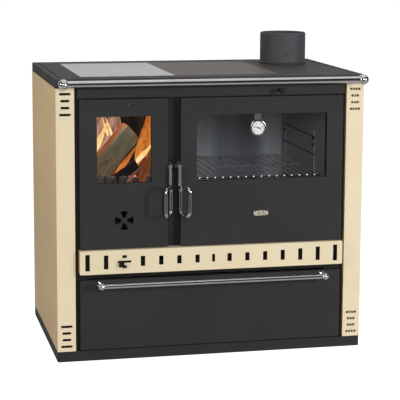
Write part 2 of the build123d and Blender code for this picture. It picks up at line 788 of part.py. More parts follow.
def door_gasket(mouth_left, mouth_right):
    inner_low, inner_high = gasket_corners(mouth_left, mouth_right)
    low, high = grown(inner_low, inner_high, gasket_width)
    with BuildPart() as rope:
        with BuildSketch(front_plane(gasket_back)):
            rectangle_between(low, high)
            rectangle_between(inner_low, inner_high, mode=Mode.SUBTRACT)
        extrude(amount=gasket_back - liner_back)
        fillet(rope.edges().filter_by(Axis.Y), 3)
    return rope.part


save(door_gasket(fire_mouth_left, fire_mouth_right), "fire_door_gasket")
save(door_gasket(oven_mouth_left, oven_mouth_right), "oven_door_gasket")

# Hinge tongues on the stiles, with pins that reach into the door folds

tongue_half, pin_reach = 7, 11
with BuildPart() as hinge_tongues:
    for hinge_x in (fire_hinge_x, oven_hinge_x):
        top_tongue = (door_top + 0.5, fascia_bottom - 0.5, door_top - pin_reach, fascia_bottom - 0.5)
        low_tongue = (strip_top + 0.3, door_bottom - 0.4, strip_top + 0.3, door_bottom + pin_reach)
        for tongue_low, tongue_high, pin_low, pin_high in (top_tongue, low_tongue):
            with BuildSketch(Plane.XY.offset(tongue_low)):
                rectangle_between((hinge_x - tongue_half, hinge_y), (hinge_x + tongue_half, frame_face))
                with Locations((hinge_x, hinge_y)):
                    Circle(tongue_half)
            extrude(amount=tongue_high - tongue_low)
            with BuildSketch(Plane.XY.offset(pin_low)):
                with Locations((hinge_x, hinge_y)):
                    Circle(pin_radius)
            extrude(amount=pin_high - pin_low)
save(hinge_tongues.part, "hinge_tongues")

# Door handles and the roller catch between them


def bow_loop(wide, high):
    """A closed loop of round rod about the origin, in the XY plane, with its four bends of one radius."""
    half_wide, half_high = wide / 2 - bow_corner, high / 2 - bow_corner
    with BuildPart() as loop:
        for quarter, (way_x, way_y) in enumerate(((1, 1), (-1, 1), (-1, -1), (1, -1))):
            with Locations(Location((way_x * half_wide, way_y * half_high, 0), (0, 0, 90 * quarter))):
                Torus(bow_corner, bow_radius, major_angle=90, align=None)
        with Locations(Location((-wide / 2, 0, 0), (90, 0, 0)), Location((wide / 2, 0, 0), (90, 0, 0))):
            Cylinder(bow_radius, 2 * half_high)
        with Locations(Location((0, -high / 2, 0), (0, 90, 0)), Location((0, high / 2, 0), (0, 90, 0))):
            Cylinder(bow_radius, 2 * half_wide)
    return loop.part


def door_handle(pivot_x, hand):
    """A lever on a shaft, with a round bow to grip; hand is the side that the bow leans to."""
    lean = Vector(hand * bow_sideways, -bow_forward, 0)
    bow_middle = Vector(pivot_x, bow_base_y, (bow_top + bow_bottom) / 2) + lean / 2
    bow_plane = Plane(bow_middle, x_dir=lean, z_dir=lean.cross(Vector(0, 0, 1)))
    with BuildPart() as handle:
        with BuildSketch(front_plane(latch_back)):
            with Locations((pivot_x, lever_pivot_z)):
                Circle(shaft_radius)
        extrude(amount=latch_back - lever_shaft_y)
        with BuildSketch(front_plane(lever_shaft_y + 1)):
            with Locations((pivot_x, lever_pivot_z)):
                Circle(lever_width * 0.7)
            lever_foot = bow_top - 2 * bow_corner
            rectangle_between(
                (pivot_x - lever_width / 2, lever_foot), (pivot_x + lever_width / 2, lever_pivot_z)
            )
        extrude(amount=lever_thickness)
        with BuildSketch(front_plane(latch_back)):
            tongue = sorted((pivot_x, pivot_x - hand * latch_reach))
            tongue_low, tongue_high = lever_pivot_z - latch_half, lever_pivot_z + latch_half
            rectangle_between((tongue[0], tongue_low), (tongue[1], tongue_high))
        extrude(amount=latch_back - latch_front)
        with BuildSketch(front_plane(lever_shaft_y + 1)):
            with Locations((pivot_x, bow_top - bow_corner)):
                Circle(bow_radius - 0.5)
        extrude(amount=lever_shaft_y + 1 - bow_base_y)
        with Locations(bow_plane.location):
            add(bow_loop(lean.length, bow_top - bow_bottom))
    return handle.part


save(door_handle(fire_lever_x, -1), "fire_door_handle")
save(door_handle(oven_lever_x, 1), "oven_door_handle")

catch_x = (fire_lever_x + oven_lever_x) / 2
roller_radius, roller_y, catch_half = 2.5, -296.4, 18
strap_half, ear_half = 7, 3.5
with BuildPart() as roller_catch:
    ear_bottoms = (lever_pivot_z - catch_half, lever_pivot_z + catch_half - plate)
    catch_height = (ear_bottoms[0], ear_bottoms[1] + plate)
    slab((catch_x - strap_half, catch_x + strap_half), (frame_face - plate, frame_face), catch_height)
    for ear_bottom in ear_bottoms:
        ear_y = (roller_y - ear_half, frame_face - plate)
        slab((catch_x - ear_half, catch_x + ear_half), ear_y, (ear_bottom, ear_bottom + plate))
    with BuildSketch(Plane.XY.offset(ear_bottoms[0] + 1)):
        with Locations((catch_x, roller_y)):
            Circle(roller_radius)
    extrude(amount=2 * catch_half - 2)
save(roller_catch.part, "roller_catch")

# Air rosette disc with its turning tab

tab_place, tab_width, tab_thickness, tab_stand = 20, 5, 1.8, 5
with BuildPart() as air_disc:
    rosette_plane = front_plane(disc_back, rosette_x, rosette_z)
    with BuildSketch(rosette_plane):
        Circle(disc_radius)
        for middle_angle in (0, 90, 180, 270):
            petal(middle_angle, disc_hole_half_angle, petal_inner, petal_outer, mode=Mode.SUBTRACT)
        Circle(disc_pivot_radius + 0.5, mode=Mode.SUBTRACT)
    extrude(amount=disc_back - disc_front)
    with BuildSketch(rosette_plane):
        tab_turn = 180 + disc_tab_angle
        with Locations((tab_place * cos(radians(tab_turn)), tab_place * sin(radians(tab_turn)))):
            Rectangle(tab_width, tab_thickness, rotation=tab_turn)
    extrude(amount=disc_back - door_front + tab_stand)
save(air_disc.part, "air_disc")

# Air lever: a shutter behind the strip with a bent tab through the lever slot

lever_rest_x = lever_slot_x - lever_travel / 2 + 1
shutter_half_length, shutter_half_height, neck_half, thumb_half, thumb_drop = 46, 18, 5, 8, 15
neck_reach, thumb_thickness = 9, 3
with BuildPart() as air_lever:
    shutter_y = (strip_front + sheet + 0.6, strip_front + 2 * sheet + 0.6)
    shutter_x = (lever_rest_x - shutter_half_length, lever_rest_x + shutter_half_length)
    slab(shutter_x, shutter_y, (strip_middle - shutter_half_height, strip_middle + shutter_half_height))
    neck_height = (strip_middle - 2, strip_middle + 2)
    neck_y = (strip_front - neck_reach, strip_front + sheet + 1)
    slab((lever_rest_x - neck_half, lever_rest_x + neck_half), neck_y, neck_height)
    thumb_height = (strip_middle - thumb_drop, strip_middle + 2)
    thumb_y = (strip_front - neck_reach, strip_front - neck_reach + thumb_thickness)
    slab((lever_rest_x - thumb_half, lever_rest_x + thumb_half), thumb_y, thumb_height)
    fillet(air_lever.faces().sort_by(Axis.Y)[0].edges().filter_by(Axis.X), 1.2)
save(air_lever.part, "air_lever")

# Damper: knob, rod and the plate that shuts the baffle's port

knob_radius, knob_front, knob_back = 8, -334, -309
flap_lap, flap_rise = 8, 3
with BuildPart() as damper_knob:
    with BuildSketch(Plane.YZ.offset(damper_x)):
        with BuildLine():
            Polyline(
                (knob_back, damper_z),
                (knob_back, damper_z + knob_radius - 3),
                (knob_front + 6, damper_z + knob_radius),
                (knob_front + 2, damper_z + knob_radius),
                (knob_front, damper_z + knob_radius - 2),
                (knob_front, damper_z),
                close=True,
            )
        make_face()
    revolve(axis=Axis((damper_x, 0, damper_z), (0, 1, 0)))
save(damper_knob.part, "damper_knob")

with BuildPart() as damper_rod:
    with BuildSketch(front_plane(port_rear)):
        with Locations((damper_x, damper_z)):
            Circle(rod_radius)
    extrude(amount=port_rear - knob_back)
    flap_x = (damper_x + rod_radius - plate / 2, damper_x + rod_radius + plate / 2)
    flap_y = (port_front - flap_lap, port_rear + flap_lap)
    slab(flap_x, flap_y, (port_bottom - flap_rise, port_top + flap_rise))
save(damper_rod.part, "damper_rod")

# Thermometer on the oven door glass

gauge_x, gauge_z, gauge_radius, gauge_front, gauge_back = 138, 698.5, 24, -312, -303.2
bezel_width, bezel_flare, bezel_chamfer, gauge_floor = 3, 2, 1.5, 2
hanger_half = 11
with BuildPart() as gauge_case:
    with BuildSketch(Plane.YZ.offset(gauge_x)):
        with BuildLine():
            Polyline(
                (gauge_back, gauge_z),
                (gauge_back, gauge_z + gauge_radius - bezel_flare),
                (gauge_front + bezel_width, gauge_z + gauge_radius),
                (gauge_front, gauge_z + gauge_radius - bezel_chamfer),
                (gauge_front, gauge_z + gauge_radius - bezel_width),
                (gauge_back - gauge_floor, gauge_z + gauge_radius - bezel_width),
                (gauge_back - gauge_floor, gauge_z),
                close=True,
            )
        make_face()
    revolve(axis=Axis((gauge_x, 0, gauge_z), (0, 1, 0)))
    hanger_height = (gauge_z + gauge_radius - bezel_width, window_top)
    slab((gauge_x - hanger_half, gauge_x + hanger_half), (door_front + 0.4, gauge_back), hanger_height)
save(gauge_case.part, "thermometer_case")

dial_back, dial_thickness = gauge_back - gauge_floor, 0.8
with BuildPart() as gauge_dial:
    with BuildSketch(front_plane(dial_back)):
        with Locations((gauge_x, gauge_z)):
            Circle(gauge_radius - bezel_width - 0.2)
    extrude(amount=dial_thickness)
save(gauge_dial.part, "thermometer_dial")

needle_back = dial_back - 1.2
needle_turn, needle_thickness, hub_radius = 162, 0.8, 2.2
pointer_root, pointer_length, tail_length, tail_width = 1.8, 15, 9, 3.2
with BuildPart() as gauge_needle:
    with BuildSketch(front_plane(needle_back, gauge_x, gauge_z)):
        Circle(hub_radius)
        with Locations(Location((0, 0), needle_turn)):
            with Locations((pointer_length / 2 - 1, 0)):
                Trapezoid(pointer_root, pointer_length, 88, rotation=-90)
            with Locations((-1 - tail_length / 2, 0)):
                Rectangle(tail_length, tail_width)
    extrude(amount=needle_thickness)
save(gauge_needle.part, "thermometer_needle")

# Drawer: folded front, sheet tub and the runners it slides on

with BuildPart() as drawer_front:
    with BuildSketch(front_plane(door_back)):
        rectangle_between((-drawer_half, drawer_bottom), (drawer_half, drawer_top))
    extrude(amount=door_depth)
    fillet(drawer_front.edges().filter_by(Axis.Y), 4)
    offset(amount=-plate, openings=drawer_front.faces().sort_by(Axis.Y)[-1])
    fillet(drawer_front.faces().sort_by(Axis.Y)[0].outer_wire().edges(), 2)
save(drawer_front.part, "drawer_front")

with BuildPart() as drawer_tub:
    slab((-tub_half, tub_half), (door_front + plate, tub_back), (tub_bottom, tub_top))
    fillet(drawer_tub.edges().filter_by(Axis.Z), 5)
    offset(amount=-tub_sheet, openings=drawer_tub.faces().sort_by(Axis.Z)[-1])
save(drawer_tub.part, "drawer_tub")

runner_rear = 240
with BuildPart() as drawer_runners:
    for hand in (-1, 1):
        with BuildSketch(Plane.XZ.offset(-frame_back - 2)):
            angle = [(hand * casing_x, tub_bottom + 40), (hand * casing_x, tub_bottom - 4)]
            angle += [(hand * (tub_half - 22), tub_bottom - 4)]
            folded_face(angle, plate, Side.LEFT if hand < 0 else Side.RIGHT)
        extrude(amount=-(runner_rear - frame_back - 2))
save(drawer_runners.part, "drawer_runners")
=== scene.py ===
import bpy
import bmesh
import math
from mathutils import Matrix, Vector


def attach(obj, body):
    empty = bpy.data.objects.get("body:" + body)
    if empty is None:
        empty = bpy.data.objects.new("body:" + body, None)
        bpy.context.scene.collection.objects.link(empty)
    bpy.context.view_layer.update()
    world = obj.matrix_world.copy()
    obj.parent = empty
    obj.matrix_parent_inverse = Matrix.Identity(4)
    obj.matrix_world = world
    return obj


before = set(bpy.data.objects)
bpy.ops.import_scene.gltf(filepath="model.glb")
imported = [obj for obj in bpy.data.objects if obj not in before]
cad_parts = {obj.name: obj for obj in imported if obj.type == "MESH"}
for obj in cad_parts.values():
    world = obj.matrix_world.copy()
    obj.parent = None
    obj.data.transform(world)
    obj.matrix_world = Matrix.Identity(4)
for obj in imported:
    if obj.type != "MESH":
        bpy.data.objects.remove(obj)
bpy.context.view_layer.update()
print("frame loaded", len(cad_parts), "nodes")

mm = 0.001


# Shader building blocks: each adds its nodes to a material, or to the world

def newMaterial(name):
    mat = bpy.data.materials.new(name)
    mat.use_nodes = True
    return mat


def surface(mat):
    return mat.node_tree.nodes["Principled BSDF"]


def feed(mat, node, inputs):
    # an input takes a value, or a link where another node's output is given
    for key, value in inputs.items():
        if isinstance(value, bpy.types.NodeSocket):
            mat.node_tree.links.new(value, node.inputs[key])
        else:
            node.inputs[key].default_value = value


def addNode(mat, kind, inputs=None, **settings):
    node = mat.node_tree.nodes.new(kind)
    for key, value in settings.items():
        setattr(node, key, value)
    feed(mat, node, inputs or {})
    return node


def bareMaterial(name):
    # without the usual surface: for glass, burning gas and the floor
    mat = newMaterial(name)
    mat.node_tree.nodes.remove(surface(mat))
    return mat


def showShader(mat, shader):
    feed(mat, mat.node_tree.nodes["Material Output"], {"Surface": shader})
    return mat


def mixShaders(mat, factor, first, second):
    return addNode(mat, "ShaderNodeMixShader", {"Fac": factor, 1: first, 2: second}).outputs[0]


def byObject(mat):
    return addNode(mat, "ShaderNodeTexCoord").outputs["Object"]


def place(mat, scale=(1, 1, 1), turn=(0, 0, 0), move=(0, 0, 0)):
    moved = {"Vector": byObject(mat), "Scale": scale, "Rotation": turn, "Location": move}
    return addNode(mat, "ShaderNodeMapping", moved).outputs["Vector"]


def axesOf(mat, vector):
    # the parts of a vector, by the letters X, Y and Z
    return addNode(mat, "ShaderNodeSeparateXYZ", {0: vector}).outputs


def facing(mat):
    return axesOf(mat, addNode(mat, "ShaderNodeNewGeometry").outputs["Normal"])


def noise(mat, vector, scale, detail=4.0, roughness=0.55, distortion=0.0):
    return addNode(mat, "ShaderNodeTexNoise", {
        "Vector": vector, "Scale": scale, "Detail": detail, "Roughness": roughness, "Distortion": distortion,
    }).outputs["Fac"]


def spread(mat, value, low, high, toLow=0.0, toHigh=1.0):
    ends = {"Value": value, "From Min": low, "From Max": high, "To Min": toLow, "To Max": toHigh}
    return addNode(mat, "ShaderNodeMapRange", ends).outputs["Result"]


def calc(mat, operation, first, second=0.0):
    return addNode(mat, "ShaderNodeMath", {0: first, 1: second}, operation=operation).outputs[0]


def times(mat, first, second):
    return calc(mat, "MULTIPLY", first, second)


def opposite(mat, value):
    return calc(mat, "SUBTRACT", 1.0, value)


def awayFrom(mat, value, middle):
    return calc(mat, "ABSOLUTE", calc(mat, "SUBTRACT", value, middle))


def past(mat, axis, limit):
    # 1 beyond a place along one axis of the object, 0 before it
    return spread(mat, axesOf(mat, byObject(mat))[axis], (limit - 0.3) * mm, (limit + 0.3) * mm)


def mixValue(mat, factor, first, second):
    return addNode(mat, "ShaderNodeMix", {0: factor, 2: first, 3: second}).outputs[0]


def blendColour(mat, factor, first, second):
    node = addNode(mat, "ShaderNodeMix", data_type="RGBA")
    for key, value in (("Factor", factor), ("A", first), ("B", second)):
        kind = "VALUE" if key == "Factor" else "RGBA"
        socket = [s for s in node.inputs if s.name == key and s.type == kind][0]
        if isinstance(value, bpy.types.NodeSocket):
            mat.node_tree.links.new(value, socket)
        else:
            socket.default_value = value if key == "Factor" else (*value[:3], 1)
    return [s for s in node.outputs if s.type == "RGBA"][0]


def bumps(mat, height, strength, distance, under=None):
    inputs = {"Height": height, "Strength": strength, "Distance": distance}
    if under is not None:
        inputs["Normal"] = under
    return addNode(mat, "ShaderNodeBump", inputs).outputs["Normal"]


def edges(mat, radius):
    # bright where a rounded corner would turn away from the flat face
    rounded = addNode(mat, "ShaderNodeBevel", {"Radius": radius}, samples=4).outputs["Normal"]
    flat = addNode(mat, "ShaderNodeNewGeometry").outputs["Normal"]
    same = addNode(mat, "ShaderNodeVectorMath", {0: rounded, 1: flat}, operation="DOT_PRODUCT")
    return spread(mat, same.outputs["Value"], 1.0, 0.75)


# Colours

def srgb(red, green, blue):
    return tuple(((c / 255 + 0.055) / 1.055) ** 2.4 if c > 10 else c / 255 / 12.92 for c in (red, green, blue))


def darker(colour, part):
    return tuple(c * part for c in colour)


def lighter(colour, part, lift):
    return tuple(min(1.0, c * part + lift) for c in colour)


# Kinds of finish

patterns = dict(clouds=5.0, speckle=900.0, wear=60.0, dust=22.0, gloss=14.0, peel=18.0)  # how fine each one is
dustColour = (0.30, 0.285, 0.26)
# the side walls' painted shade fades in between these heights, to a darker tone below them
sideShadeFade = dict(high=0.68, low=0.34, lowShadeTone=(0.85, 0.8, 0.745))  # heights in metres, and the tone below them


def paint(name, colour, shade, rough, grain, edge, coat=0.0, metal=0.0,
          edgeColour=None, shadedSideColour=None, dust=0.0, shine=0.5):
    # paint or enamel on steel: soft cloudy colour, fine orange peel, worn edges, and a painted shade on the
    # side walls where a side colour is given
    mat = newMaterial(name)
    body = surface(mat)
    spots = place(mat)
    clouds = spread(mat, noise(mat, spots, patterns["clouds"], 5.0), 0.3, 0.7)
    speckle = spread(mat, noise(mat, spots, patterns["speckle"], 2.0), 0.35, 0.65, 0.0, 0.5)
    tint = blendColour(mat, speckle, blendColour(mat, clouds, colour, shade), darker(colour, 0.86))
    patchy = spread(mat, noise(mat, spots, patterns["wear"], 6.0), 0.35, 0.65)
    wearAndPaintedReflection = times(mat, edges(mat, 0.0012), patchy)
    tint = blendColour(mat, times(mat, wearAndPaintedReflection, edge), tint, edgeColour or lighter(colour, 2.2, 0.02))
    if dust:
        up = spread(mat, facing(mat)["Z"], 0.6, 1.0)
        patches = spread(mat, noise(mat, spots, patterns["dust"], 7.0), 0.3, 0.75, 0.0, dust)
        tint = blendColour(mat, times(mat, up, patches), tint, dustColour)
    if shadedSideColour:
        # painted shade: the outer walls take a darker, warmer colour, darker still towards the floor
        wall = spread(mat, calc(mat, "ABSOLUTE", facing(mat)["X"]), 0.6, 0.9)
        lowShadedSide = tuple(c * part for c, part in zip(shadedSideColour, sideShadeFade["lowShadeTone"]))
        above, below = (blendColour(mat, clouds, tone, darker(tone, 0.92)) for tone in (shadedSideColour, lowShadedSide))
        lowShade = spread(mat, axesOf(mat, spots)["Z"], sideShadeFade["high"], sideShadeFade["low"])
        tint = blendColour(mat, wall, tint, blendColour(mat, lowShade, above, below))
        coat = times(mat, opposite(mat, wall), coat)
    gloss = noise(mat, spots, patterns["gloss"], 6.0)
    peel = bumps(mat, noise(mat, spots, patterns["peel"], 3.0), 0.06, 0.002)
    feed(mat, body, {
        "Base Color": tint,
        "Roughness": spread(mat, gloss, 0.25, 0.75, rough - 0.06, rough + 0.08),
        "Normal": bumps(mat, noise(mat, spots, grain, 3.0), 0.18, 0.0004, peel),
        "Coat Weight": coat,
        "Coat Roughness": 0.22,
        "Specular IOR Level": shine,
        "Metallic": metal,
    })
    return mat


def polished(name, colour, rough, swirl, grainAxis=(1, 1, 1), metal=1.0, smudge=0.08, depth=0.15):
    # bare or plated metal: fine directional grinding lines and finger smudges
    mat = newMaterial(name)
    lines = noise(mat, place(mat, scale=grainAxis), swirl, 6.0, 0.7)
    marks = noise(mat, place(mat), 26.0, 6.0)
    tint = blendColour(mat, spread(mat, marks, 0.35, 0.7), colour, darker(colour, 0.82))
    tint = blendColour(mat, spread(mat, lines, 0.3, 0.7, 0.0, 0.35), tint, darker(colour, 0.7))
    both = calc(mat, "ADD", times(mat, lines, 0.5), times(mat, marks, 0.5))
    feed(mat, surface(mat), {
        "Base Color": tint,
        "Roughness": spread(mat, both, 0.3, 0.7, rough, rough + smudge),
        "Normal": bumps(mat, lines, depth, 0.0003),
        "Metallic": metal,
    })
    return mat


def plated(name, bright, rough):
    # chrome: a smooth mirror with a trace of blue
    return polished(name, (bright, bright, bright + 0.01), rough, 220.0, smudge=0.05, depth=0.03)


def wire(name, colour, rough, metal):
    return polished(name, colour, rough, 400.0, metal=metal, smudge=0.1, depth=0.05)


def castIron(name, colour, light, rough, grain=320.0, depth=0.35):
    # cast surface with sand grain, oil bloom and lighter rubbed edges
    mat = newMaterial(name)
    spots = place(mat)
    bloom = noise(mat, spots, 7.0, 7.0, 0.6)
    grit = noise(mat, spots, grain, 4.0)
    tint = blendColour(mat, spread(mat, bloom, 0.3, 0.7), colour, light)
    tint = blendColour(mat, spread(mat, grit, 0.4, 0.7, 0.0, 0.4), tint, darker(colour, 0.6))
    rubbed = times(mat, edges(mat, 0.0015), 0.5)
    feed(mat, surface(mat), {
        "Base Color": blendColour(mat, rubbed, tint, lighter(colour, 2.0, 0.03)),
        "Roughness": spread(mat, bloom, 0.25, 0.75, rough - 0.08, rough + 0.1),
        "Normal": bumps(mat, grit, depth, 0.0006),
        "Metallic": 0.35,
    })
    return mat


def partly(mat, mask, colour, rough, metal=0.0):
    # where the mask is 1 the piece has another colour and gloss
    body = surface(mat)
    tint, gloss = (body.inputs[key].links[0].from_socket for key in ("Base Color", "Roughness"))
    feed(mat, body, {
        "Base Color": blendColour(mat, mask, tint, colour),
        "Roughness": mixValue(mat, mask, gloss, rough),
        "Metallic": mixValue(mat, mask, body.inputs["Metallic"].default_value, metal),
    })
    return mat


def selfLit(mat, strength):
    # painted light: an even glow of the surface itself, though it is no lamp
    feed(mat, surface(mat), {"Emission Color": (1, 1, 1, 1), "Emission Strength": strength})
    return mat


finishes = {
    "darkDoor": dict(colour=srgb(45, 44, 45), shade=srgb(52, 51, 52), rough=0.52, grain=520.0, edge=0.3,
                     shine=0.16),
    "blackFrame": dict(colour=srgb(28, 26, 25), shade=srgb(36, 33, 32), rough=0.6, grain=420.0, edge=0.25,
                       shine=0.25),
    # the ivory's side colour is a painted shade: the warmer, darker tone of the side walls that stand in shade
    "ivory": dict(colour=srgb(232, 217, 184), shade=srgb(226, 211, 178), rough=0.36, grain=260.0, edge=0.25,
                  coat=0.35, edgeColour=srgb(246, 236, 208), shadedSideColour=srgb(238, 208, 152)),
    "darkTop": dict(colour=srgb(59, 57, 56), shade=srgb(68, 66, 64), rough=0.6, grain=380.0, edge=0.4,
                    dust=0.05, shine=0.15),
    "pipeBlue": dict(colour=srgb(68, 68, 72), shade=srgb(76, 76, 81), rough=0.58, grain=300.0, edge=0.3,
                     metal=0.1, shine=0.3),
    "ovenGrey": dict(colour=srgb(176, 178, 183), shade=srgb(192, 194, 199), rough=0.38, grain=300.0, edge=0.2,
                     coat=0.3),
    "dialWhite": dict(colour=srgb(255, 255, 255), shade=srgb(252, 252, 252), rough=0.4, grain=500.0, edge=0.0),
    "needleBlack": dict(colour=srgb(18, 18, 18), shade=srgb(26, 26, 26), rough=0.35, grain=500.0, edge=0.1),
    "knobBlack": dict(colour=srgb(14, 14, 14), shade=srgb(22, 22, 22), rough=0.4, grain=240.0, edge=0.1,
                      shine=0.25),
    # black, also used as a painted shade on the sheets seen through the slots
    "sootAndShadeBlack": dict(colour=srgb(12, 11, 11), shade=srgb(20, 18, 17), rough=0.7, grain=420.0, edge=0.35,
                      shine=0.2),
}
paints = {name: paint(name, **look) for name, look in finishes.items()}


# Finishes of single pieces

def ovenMaterial():
    # grey enamel: darker floor and roof, plain side walls, and a painted reflection: two soft lighter bands up
    # the back wall
    look = {
        "wall": srgb(192, 189, 184), "floorAndRoof": srgb(98, 96, 93), "wearAndPaintedReflection": srgb(244, 246, 250),
        "bands": ((92, 54), (326, 54)), "cover": 0.9,
    }
    mat = paint("ovenEnamel", **finishes["ovenGrey"])
    across = axesOf(mat, byObject(mat))["X"]
    normal = facing(mat)
    side, level = (spread(mat, calc(mat, "ABSOLUTE", normal[axis]), 0.5, 0.9) for axis in ("X", "Z"))
    back = opposite(mat, calc(mat, "MAXIMUM", side, level))
    partly(mat, side, look["wall"], 0.5)
    partly(mat, level, look["floorAndRoof"], 0.6)
    # painted reflection: each band is a ragged lighter stripe that stands in for light reflected by the back
    # wall's enamel
    for middle, reach in look["bands"]:
        band = spread(mat, awayFrom(mat, across, middle * mm), reach * mm, reach * 0.4 * mm)
        ragged = spread(mat, noise(mat, place(mat, scale=(1, 1, 0.3)), 20.0, 5.0), 0.3, 0.6, 0.55, 1.0)
        wearAndPaintedReflection = times(mat, times(mat, band, ragged), times(mat, back, look["cover"]))
        partly(mat, wearAndPaintedReflection, look["wearAndPaintedReflection"], 0.35)
    return mat


def linerMaterial():
    # dark sheet, painted in shade; on the right post the ribs between its square holes are painted pale,
    # a painted highlight where they catch the light, half a step over in the short slots
    rib = dict(middle=447.5, pitch=8.5, reach=0.95, shortSlots=(779.75, 78.25), half=15.4,
               tone=srgb(250, 238, 208))
    mat = paint("linerPaint", **finishes["sootAndShadeBlack"])
    spot = axesOf(mat, byObject(mat))
    away = calc(mat, "MINIMUM", *(awayFrom(mat, spot["Z"], z * mm) for z in rib["shortSlots"]))
    steps = calc(mat, "DIVIDE", calc(mat, "SUBTRACT", spot["X"], rib["middle"] * mm), rib["pitch"] * mm)
    steps = calc(mat, "ADD", steps, spread(mat, away, (rib["half"] + 0.2) * mm, rib["half"] * mm, 0.0, 0.5))
    share = rib["reach"] / rib["pitch"]
    # painted highlight: pale ribs, on the right post only
    bright = spread(mat, awayFrom(mat, steps, calc(mat, "ROUND", steps)), share + 0.02, share)
    return partly(mat, times(mat, bright, past(mat, "X", 0)), rib["tone"], 0.45)


def rackMaterial():
    # bright uprights against the walls; the runners are painted dark, a painted shade for the shadow lines they
    # make on the walls
    look = dict(middle=149.5, runnersTo=208.0, runnerShade=srgb(34, 31, 29))
    mat = wire("rackWire", (0.86, 0.86, 0.86), 0.3, 0.5)
    away = awayFrom(mat, axesOf(mat, byObject(mat))["X"], look["middle"] * mm)
    runners = spread(mat, away, (look["runnersTo"] + 0.4) * mm, look["runnersTo"] * mm)
    return partly(mat, runners, look["runnerShade"], 0.5)


def shelfMaterial():
    # the front rod is painted dark, a painted shade, the rods behind it are bright
    look = dict(frontRod=-252, frontShade=srgb(58, 57, 57), bright=(0.86, 0.86, 0.87))
    mat = wire("wireChrome", look["frontShade"], 0.34, 0.2)
    return partly(mat, past(mat, "Y", look["frontRod"]), look["bright"], 0.28, 0.5)


def handleMaterial():
    # chrome bows below, levers of a mid grey above
    look = dict(leverFoot=534, lever=srgb(124, 122, 118))
    mat = plated("handleChrome", 0.50, 0.07)
    return partly(mat, past(mat, "Z", look["leverFoot"]), look["lever"], 0.32, 0.35)


def gaugeMaterial():
    # bright case, its hanger above the dial dull
    look = dict(hangerFoot=722.4, hanger=srgb(72, 72, 68))
    mat = plated("gaugeChrome", 0.80, 0.12)
    return partly(mat, past(mat, "Z", look["hangerFoot"]), look["hanger"], 0.4)


def darkenCollarFoot(mat):
    # painted shade: a dark band round the foot of the collar, where it stands on the flue plate
    foot = dict(top=862, tone=srgb(46, 46, 48))
    return partly(mat, opposite(mat, past(mat, "Z", foot["top"])), foot["tone"], 0.62)


def firebrickMaterial():
    look = {"clay": srgb(92, 80, 67), "soot": srgb(30, 26, 24), "speck": srgb(72, 60, 50)}
    mat = newMaterial("firebrick")
    spots = place(mat)
    pits = addNode(mat, "ShaderNodeTexVoronoi", {"Vector": spots, "Scale": 320.0}).outputs["Distance"]
    smoke = spread(mat, noise(mat, spots, 9.0, 7.0, 0.65), 0.3, 0.5)
    specks = spread(mat, noise(mat, spots, 120.0, 3.0), 0.45, 0.6)
    tint = blendColour(mat, specks, look["clay"], look["speck"])
    feed(mat, surface(mat), {
        "Base Color": blendColour(mat, smoke, tint, look["soot"]),
        "Roughness": 0.93,
        "Normal": bumps(mat, pits, 0.5, 0.0012),
    })
    return mat


def ropeMaterial():
    look = {"light": srgb(92, 90, 86), "dark": srgb(40, 39, 38)}
    mat = newMaterial("ropeGasket")
    braid = {"Vector": place(mat, turn=(0.6, 0.5, 0.7)), "Scale": 420.0, "Distortion": 1.5, "Detail": 2.0}
    strand = addNode(mat, "ShaderNodeTexWave", braid).outputs["Fac"]
    feed(mat, surface(mat), {
        "Base Color": blendColour(mat, strand, look["dark"], look["light"]),
        "Roughness": 0.9,
        "Normal": bumps(mat, strand, 0.6, 0.0008),
    })
    return mat


def paneMaterial(name, tint, sooty):
    # clear pane: see-through with a plain reflection, and a thin film of soot in patches
    mat = bareMaterial(name)
    clear = addNode(mat, "ShaderNodeBsdfTransparent", {"Color": (*tint, 1)}).outputs[0]
    shine = addNode(mat, "ShaderNodeBsdfGlossy", {"Color": (1, 1, 1, 1), "Roughness": 0.03}).outputs[0]
    haze = addNode(mat, "ShaderNodeBsdfDiffuse", {"Color": (0.16, 0.14, 0.12, 1)}).outputs[0]
    mirrored = addNode(mat, "ShaderNodeFresnel", {"IOR": 1.45}).outputs[0]
    film = spread(mat, noise(mat, place(mat), 11.0, 7.0, 0.6), 0.45, 0.8, 0.0, sooty)
    return showShader(mat, mixShaders(mat, mirrored, mixShaders(mat, film, clear, haze), shine))


chrome = plated("chrome", 0.64, 0.07)
ovenEnamel = ovenMaterial()
rackWire = rackMaterial()
wireChrome = shelfMaterial()
zinc = polished("zincSheet", (0.47, 0.48, 0.50), 0.38, 90.0, smudge=0.18, depth=0.1)
blackScrew = polished("blackScrew", (0.10, 0.10, 0.10), 0.35, 500.0)
groundPlate = polished("groundPlate", (0.62, 0.62, 0.61), 0.30, 60.0, (40, 1.2, 1),
                       metal=0.75, smudge=0.12, depth=0.12)
handleChrome = handleMaterial()
gaugeChrome = gaugeMaterial()
linerPaint = linerMaterial()
cookPlate = castIron("cookPlate", srgb(84, 78, 73), srgb(98, 91, 85), 0.5, grain=420.0, depth=0.2)
grateIron = castIron("grateIron", srgb(44, 40, 38), srgb(66, 58, 52), 0.75)
firebrick = firebrickMaterial()
ropeGasket = ropeMaterial()
firePane = paneMaterial("firePane", (0.93, 0.90, 0.86), 0.04)
ovenPane = paneMaterial("ovenPane", (0.86, 0.87, 0.88), 0.04)
# painted light: the dial glows a little, brighter than the lamps make it
selfLit(paints["dialWhite"], 0.16)
darkenCollarFoot(paints["pipeBlue"])

